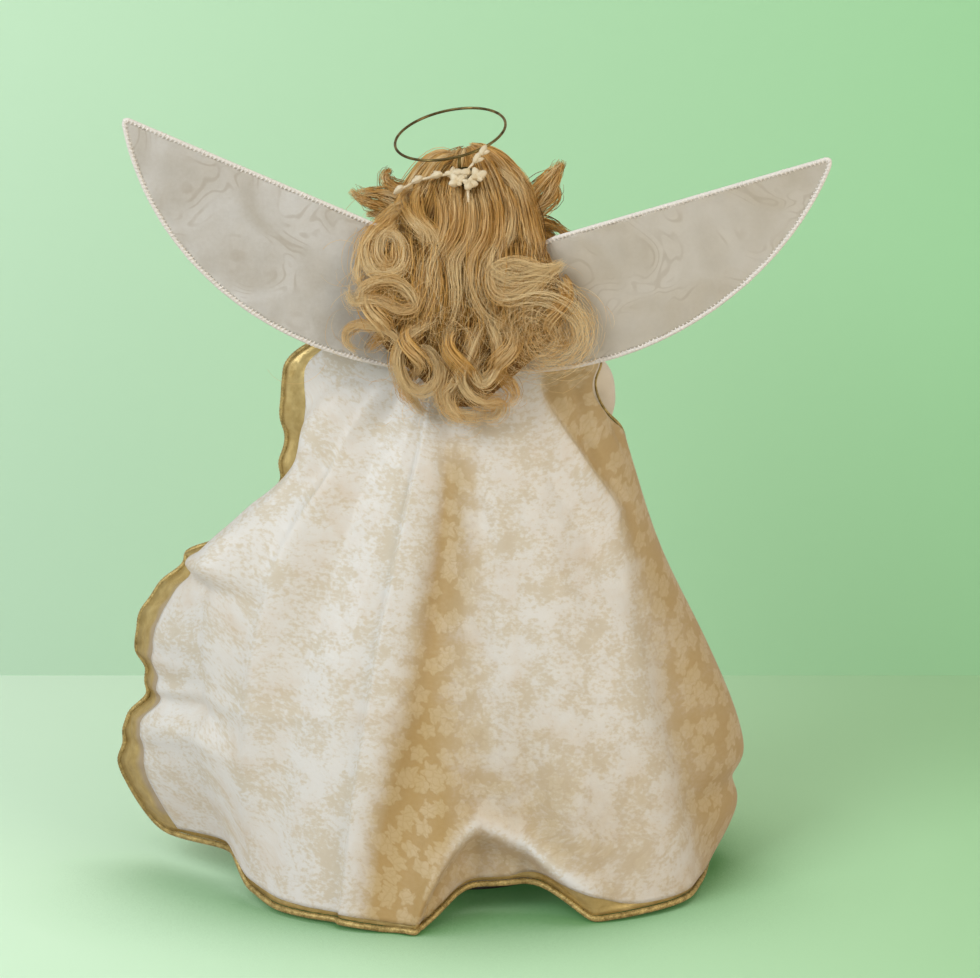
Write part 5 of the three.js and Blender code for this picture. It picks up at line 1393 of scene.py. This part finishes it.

# Large locks: places (x, z) seen from behind, how far the lock stands off, its half width and its tone: the
# lock's own blonde, and lighter as painted highlight on the locks that catch the light
LOCKS = [
    ([(13, 366), (10, 349), (13, 337), (18, 329), (20, 318), (17, 306), (20, 296)], 2, 5.5, 0.62),
    ([(6, 366), (4, 351), (6, 341), (12, 333), (16, 325), (15, 314), (12, 302)], 2, 5, 0.58),
    ([(-2, 364), (-4, 351), (-2, 339), (4, 330), (3, 317), (4, 306), (8, 294)], 2.5, 5.5, 0.66),
    ([(-8, 363), (-11, 351), (-10, 341), (-4, 330), (-4, 317), (-9, 306), (-17, 300),
      (-26, 295)], 2.5, 5, 0.6),
    ([(-14, 363), (-17, 350), (-16, 338), (-10, 327), (-11, 314), (-16, 302)], 2, 5, 0.52),
    ([(-19, 364), (-23, 351), (-22, 341), (-18, 334), (-15, 325)], 1.5, 5, 0.5),
    ([(-13, 373), (-24, 363), (-29, 350), (-31, 341), (-34, 332)], 1, 5, 0.62),
    ([(-18, 373), (-27, 364), (-32, 352), (-36, 340), (-39, 328)], 0, 5, 0.5),
    ([(20, 364), (24, 358), (23, 349), (17, 343), (15, 334), (22, 320)], 1.5, 5, 0.5),
    ([(25, 362), (30, 355), (26, 349), (20, 343), (19, 334)], 1.5, 4.5, 0.55),
    ([(27, 357), (36, 352), (44, 346), (49, 339), (49, 331), (43, 324), (33, 326), (30, 334), (33, 342),
      (40, 344), (45, 339)], 4, 4, 0.75),
    ([(29, 354), (39, 348), (47, 342), (51, 334), (53, 323), (51, 317)], 2, 4, 0.65),
    ([(24, 308), (28, 316), (35, 321), (44, 321), (51, 317), (54, 311)], 5, 4.5, 0.75),
    ([(23, 320), (25, 309), (32, 307), (41, 311), (49, 312), (55, 311), (59, 316)], 4, 4.5, 0.7),
    ([(24, 300), (31, 291), (38, 296), (46, 299), (54, 299), (59, 295), (59, 289),
      (54, 285)], 4, 3.5, 0.75),
    ([(13, 302), (24, 296), (32, 288), (33, 278), (29, 268), (21, 265), (14, 271), (14, 280), (19, 287),
      (27, 286)], 5, 4, 0.85),
    ([(17, 300), (29, 293), (34, 283), (32, 272), (25, 257), (19, 251)], 3, 4, 0.75),
    ([(-8, 300), (-2, 286), (2, 273), (-2, 264), (-10, 259), (-17, 259), (-15, 251),
      (-8, 251)], 4, 4.5, 0.75),
    ([(-11, 302), (-16, 290), (-16, 278), (-9, 270), (-5, 277), (-11, 285)], 4, 4, 0.7),
    ([(8, 298), (9, 282), (12, 268), (8, 256), (-2, 252), (-11, 252)], 3, 4.5, 0.7),
    ([(-1, 298), (-4, 286), (6, 270), (12, 262), (4, 255)], 3, 4, 0.7),
    ([(-16, 338), (-14, 327), (-19, 329), (-27, 330), (-36, 327), (-43, 327), (-49, 330)], 6, 5, 0.85),
    ([(-14, 330), (-14, 318), (-21, 314), (-30, 317), (-38, 323), (-47, 328)], 6, 5.5, 0.75),
    ([(-14, 334), (-14, 327), (-20, 323), (-29, 323), (-39, 326), (-48, 329)], 6.5, 5, 0.8),
    ([(35, 347), (42, 341), (43, 333), (38, 328), (34, 332), (37, 338)], 2, 4.5, 0.55),
]
lock_parts = []
for places, off, wide, tone in LOCKS:
    line = laid_line(places, off)[None]
    lock_parts.append(strands(line, int(25 * wide), tapered(0.8 * wide, 0.7, 0.5), 0.12, [tone], 1.5))
for number in range(4):
    hair_piece(f"hair_large_locks_{number + 1}", lock_parts[number::4], [])

PUFF = [
    (-17, 318), (-27, 313), (-39, 314), (-51, 308), (-57, 297), (-53, 286), (-42, 281), (-32, 284),
]
puff = strands(laid_line(PUFF, 4)[None], 90, tapered(10, 0.5, 0.8), 0.1, [1.0], 4.5)
hair_piece("hair_puff", [puff], [])

for name, x, top, bottom, winds in (
    ("far_left", 44, 318, 284, 1.2), ("left", 26, 300, 258, 1.5), ("middle", 4, 296, 250, 1.6),
    ("right", -20, 298, 256, -1.5), ("far_right", -46, 322, 286, -1.2),
):
    line = ringlet_line(x, top, bottom, winds)[None]
    parts = [strands(line, 80, tapered(4, 1, 0.4), 0.17, [0.45], 1.2)]
    hair_piece(f"hair_ringlet_{name}", parts, [f"ringlet_{name}"])

# Loose hairs: how many, their middle (x, z), scatter, radii of the arcs and how far off the hair
LOOSE = [
    (260, (2, 300), (22, 15), (8, 18), (1, 6)),
    (430, (-40, 297), (7, 6), (6, 20), (0, 9)),
    (150, (38, 318), (8, 14), (7, 14), (1, 6)),
    (120, (6, 260), (12, 6), (5, 11), (-1, 4)),
]
loose_parts = [
    strands(arc_lines(*plan), 1, 0.1, 0.08, np.full(plan[0], 0.9), 1.0) for plan in LOOSE
]
hair_piece("hair_loose", loose_parts, [])

# Locks of each side tuft from the crown outward
TUFTS = {
    "left": [
        [(28, 0, 346), (42, -2, 350), (52, -3, 353), (59, -4, 358)],
        [(28, 0, 352), (40, -2, 356), (48, -3, 357), (55, -4, 357)],
        [(28, 0, 357), (38, -2, 361), (41, -3, 365), (38, -3, 369)],
        [(28, 0, 341), (40, -2, 345), (51, -4, 346)],
        [(28, 0, 336), (40, -2, 340), (48, -4, 340)],
    ],
    "right": [
        [(-28, 0, 343), (-38, -2, 352), (-45, -3, 362), (-50, -4, 373)],
        [(-28, 0, 350), (-36, -2, 359), (-43, -3, 366), (-49, -4, 372)],
        [(-30, 0, 345), (-40, -2, 350), (-46, -3, 355), (-46, -4, 361)],
        [(-30, 0, 340), (-42, -2, 341), (-54, -3, 334)],
        [(-28, 0, 336), (-40, -2, 336), (-50, -3, 328)],
    ],
}
for name, side in (("left", 1), ("right", -1)):
    lines = np.array([smooth_line(lock, CROWN_STEPS) for lock in TUFTS[name]])
    tuft_spread = 5.5 * np.linspace(1, 0.2, CROWN_STEPS)
    parts = [strands(lines, 90, tuft_spread, 0.2, [0.3, 0.36, 0.34, 0.25, 0.2], 1.2)]
    hair_piece(f"hair_tuft_{name}", parts, [f"side_tuft_{name}"])
    face_stops = [[36 * side, -4, 340], [38 * side, -15, 322], [36 * side, -22, 300]]
    face_lock = smooth_line(face_stops, CROWN_STEPS)
    parts = [strands(face_lock[None], 300, 6 * np.linspace(1, 0.4, CROWN_STEPS), 0.24, [0.45], 0.9)]
    hair_piece(f"hair_face_lock_{name}", parts, [f"face_lock_{name}"])


# Floor, backdrop, light and camera

def mint_nodes(near, far, glow, shade_reach):
    """Matt mint paper, painted paler towards the key lamp as painted light, with a glow of its own, painted
    light that softens shadows on it. A painted shadow darkens it close under the figure, within
    shade_reach, and its rear side is see-through. Only the camera sees the mint and the glow: the light
    that the paper throws back on the figure is grey."""
    def nodes(tree):
        place = add(tree, "TexCoord")["Object"]
        across, back, _ = add(tree, "SeparateXYZ", {0: place})
        # Painted light: paler on the key lamp's side
        away = add(tree, "MapRange", {0: across, 1: 0.35, 2: -0.35})[0]
        mint = add(tree, "Mix", {0: away, 6: linear(near), 7: linear(far)}, data_type="RGBA")[2]
        # Painted shadow: dark green where the figure hides the sky, but not close by the wall
        open_sky = add(tree, "AmbientOcclusion", {"Distance": shade_reach}, samples=8)["AO"]
        lit = add(tree, "MapRange", {0: open_sky, 1: 0.45, 2: 0.92})[0]
        by_wall = add(tree, "MapRange", {0: back, 1: -0.1, 2: -0.17})[0]
        clear = add(tree, "Math", {0: lit, 1: by_wall}, operation="MAXIMUM")[0]
        mint = add(tree, "Mix", {0: clear, 6: linear("#548c50"), 7: mint}, data_type="RGBA")[2]
        seen = add(tree, "LightPath")["Is Camera Ray"]
        colour = add(tree, "Mix", {0: seen, 6: linear("#c9c6bd"), 7: mint}, data_type="RGBA")[2]
        # Painted light: the paper's own glow, seen by the camera only
        share = add(tree, "Math", {0: seen, 1: glow}, operation="MULTIPLY")[0]
        rear_side = add(tree, "NewGeometry")["Backfacing"]
        cover = add(tree, "Math", {0: 1.0, 1: rear_side}, operation="SUBTRACT")[0]
        return {"Base Color": colour, "Emission Color": mint, "Emission Strength": share, "Alpha": cover}
    return nodes


def stage_sheet(name, corners, material):
    """A flat sheet of paper between four corners, in metres."""
    mesh = bpy.data.meshes.new(name)
    mesh.from_pydata(corners, [], [(0, 1, 2, 3)])
    mesh.materials.append(material)
    sheet = bpy.data.objects.new(name, mesh)
    bpy.context.scene.collection.objects.link(sheet)


WALL = -0.32
# Floor and wall: the pale and dark mint of the painted light, the painted glow's strength and the painted
# shadow's reach
FLOOR_MINT = finish("mint floor paper", mint_nodes("#dcfade", "#a2d69f", 0.17, 0.11), Roughness=0.9)
WALL_MINT = finish("mint wall paper", mint_nodes("#c1e5c5", "#99d29d", 0.2, 0.001), Roughness=0.9)
stage_sheet("floor", [(-4, WALL, 0), (4, WALL, 0), (4, 4, 0), (-4, 4, 0)], FLOOR_MINT)
stage_sheet("backdrop", [(4, WALL, 0), (-4, WALL, 0), (-4, WALL, 4), (4, WALL, 4)], WALL_MINT)


def soft_lamp(name, place, aim, size, power, colour):
    """A square softbox at a place in metres, turned to its aim."""
    light = bpy.data.lights.new(name, "AREA")
    light.size = size
    light.energy = power
    light.color = linear(colour)[:3]
    lamp = bpy.data.objects.new(name, light)
    lamp.location = place
    z_axis = unit(np.subtract(place, aim))
    x_axis = unit(np.cross([0, 0, 1], z_axis))
    turned = np.stack([x_axis, np.cross(z_axis, x_axis), z_axis], 1)
    lamp.rotation_euler = mathutils.Matrix(turned.tolist()).to_euler()
    bpy.context.scene.collection.objects.link(lamp)


soft_lamp("key", (1.4, 1.35, 1.5), (0, 0, 0.18), 1.3, 29.5, "#f7f9ff")
soft_lamp("fill", (-1.6, 1.2, 0.9), (0, 0, 0.18), 1.4, 15, "#ffeedb")

world = bpy.data.worlds.new("studio")
world.use_nodes = True
world.node_tree.nodes["Background"].inputs["Color"].default_value = linear("#f2f4f0")
world.node_tree.nodes["Background"].inputs["Strength"].default_value = 0.42
bpy.context.scene.world = world

CAMERA_TILT = math.radians(14)
CAMERA_DISTANCE = 1.6
CAMERA_AIM = (-0.0123, 0, 0.2021)
FOCAL_LENGTH_PIXELS = 3077
PICTURE_WIDTH_PIXELS = 980
camera = bpy.data.cameras.new("camera")
camera.sensor_width = 36
camera.lens = camera.sensor_width * FOCAL_LENGTH_PIXELS / PICTURE_WIDTH_PIXELS
viewer = bpy.data.objects.new("camera", camera)
viewer.location = (
    CAMERA_AIM[0],
    CAMERA_DISTANCE * math.cos(CAMERA_TILT),
    CAMERA_AIM[2] + CAMERA_DISTANCE * math.sin(CAMERA_TILT),
)
viewer.rotation_euler = (math.pi / 2 - CAMERA_TILT, 0, math.pi)
bpy.context.scene.collection.objects.link(viewer)
bpy.context.scene.camera = viewer
bpy.context.scene.view_settings.view_transform = "Standard"
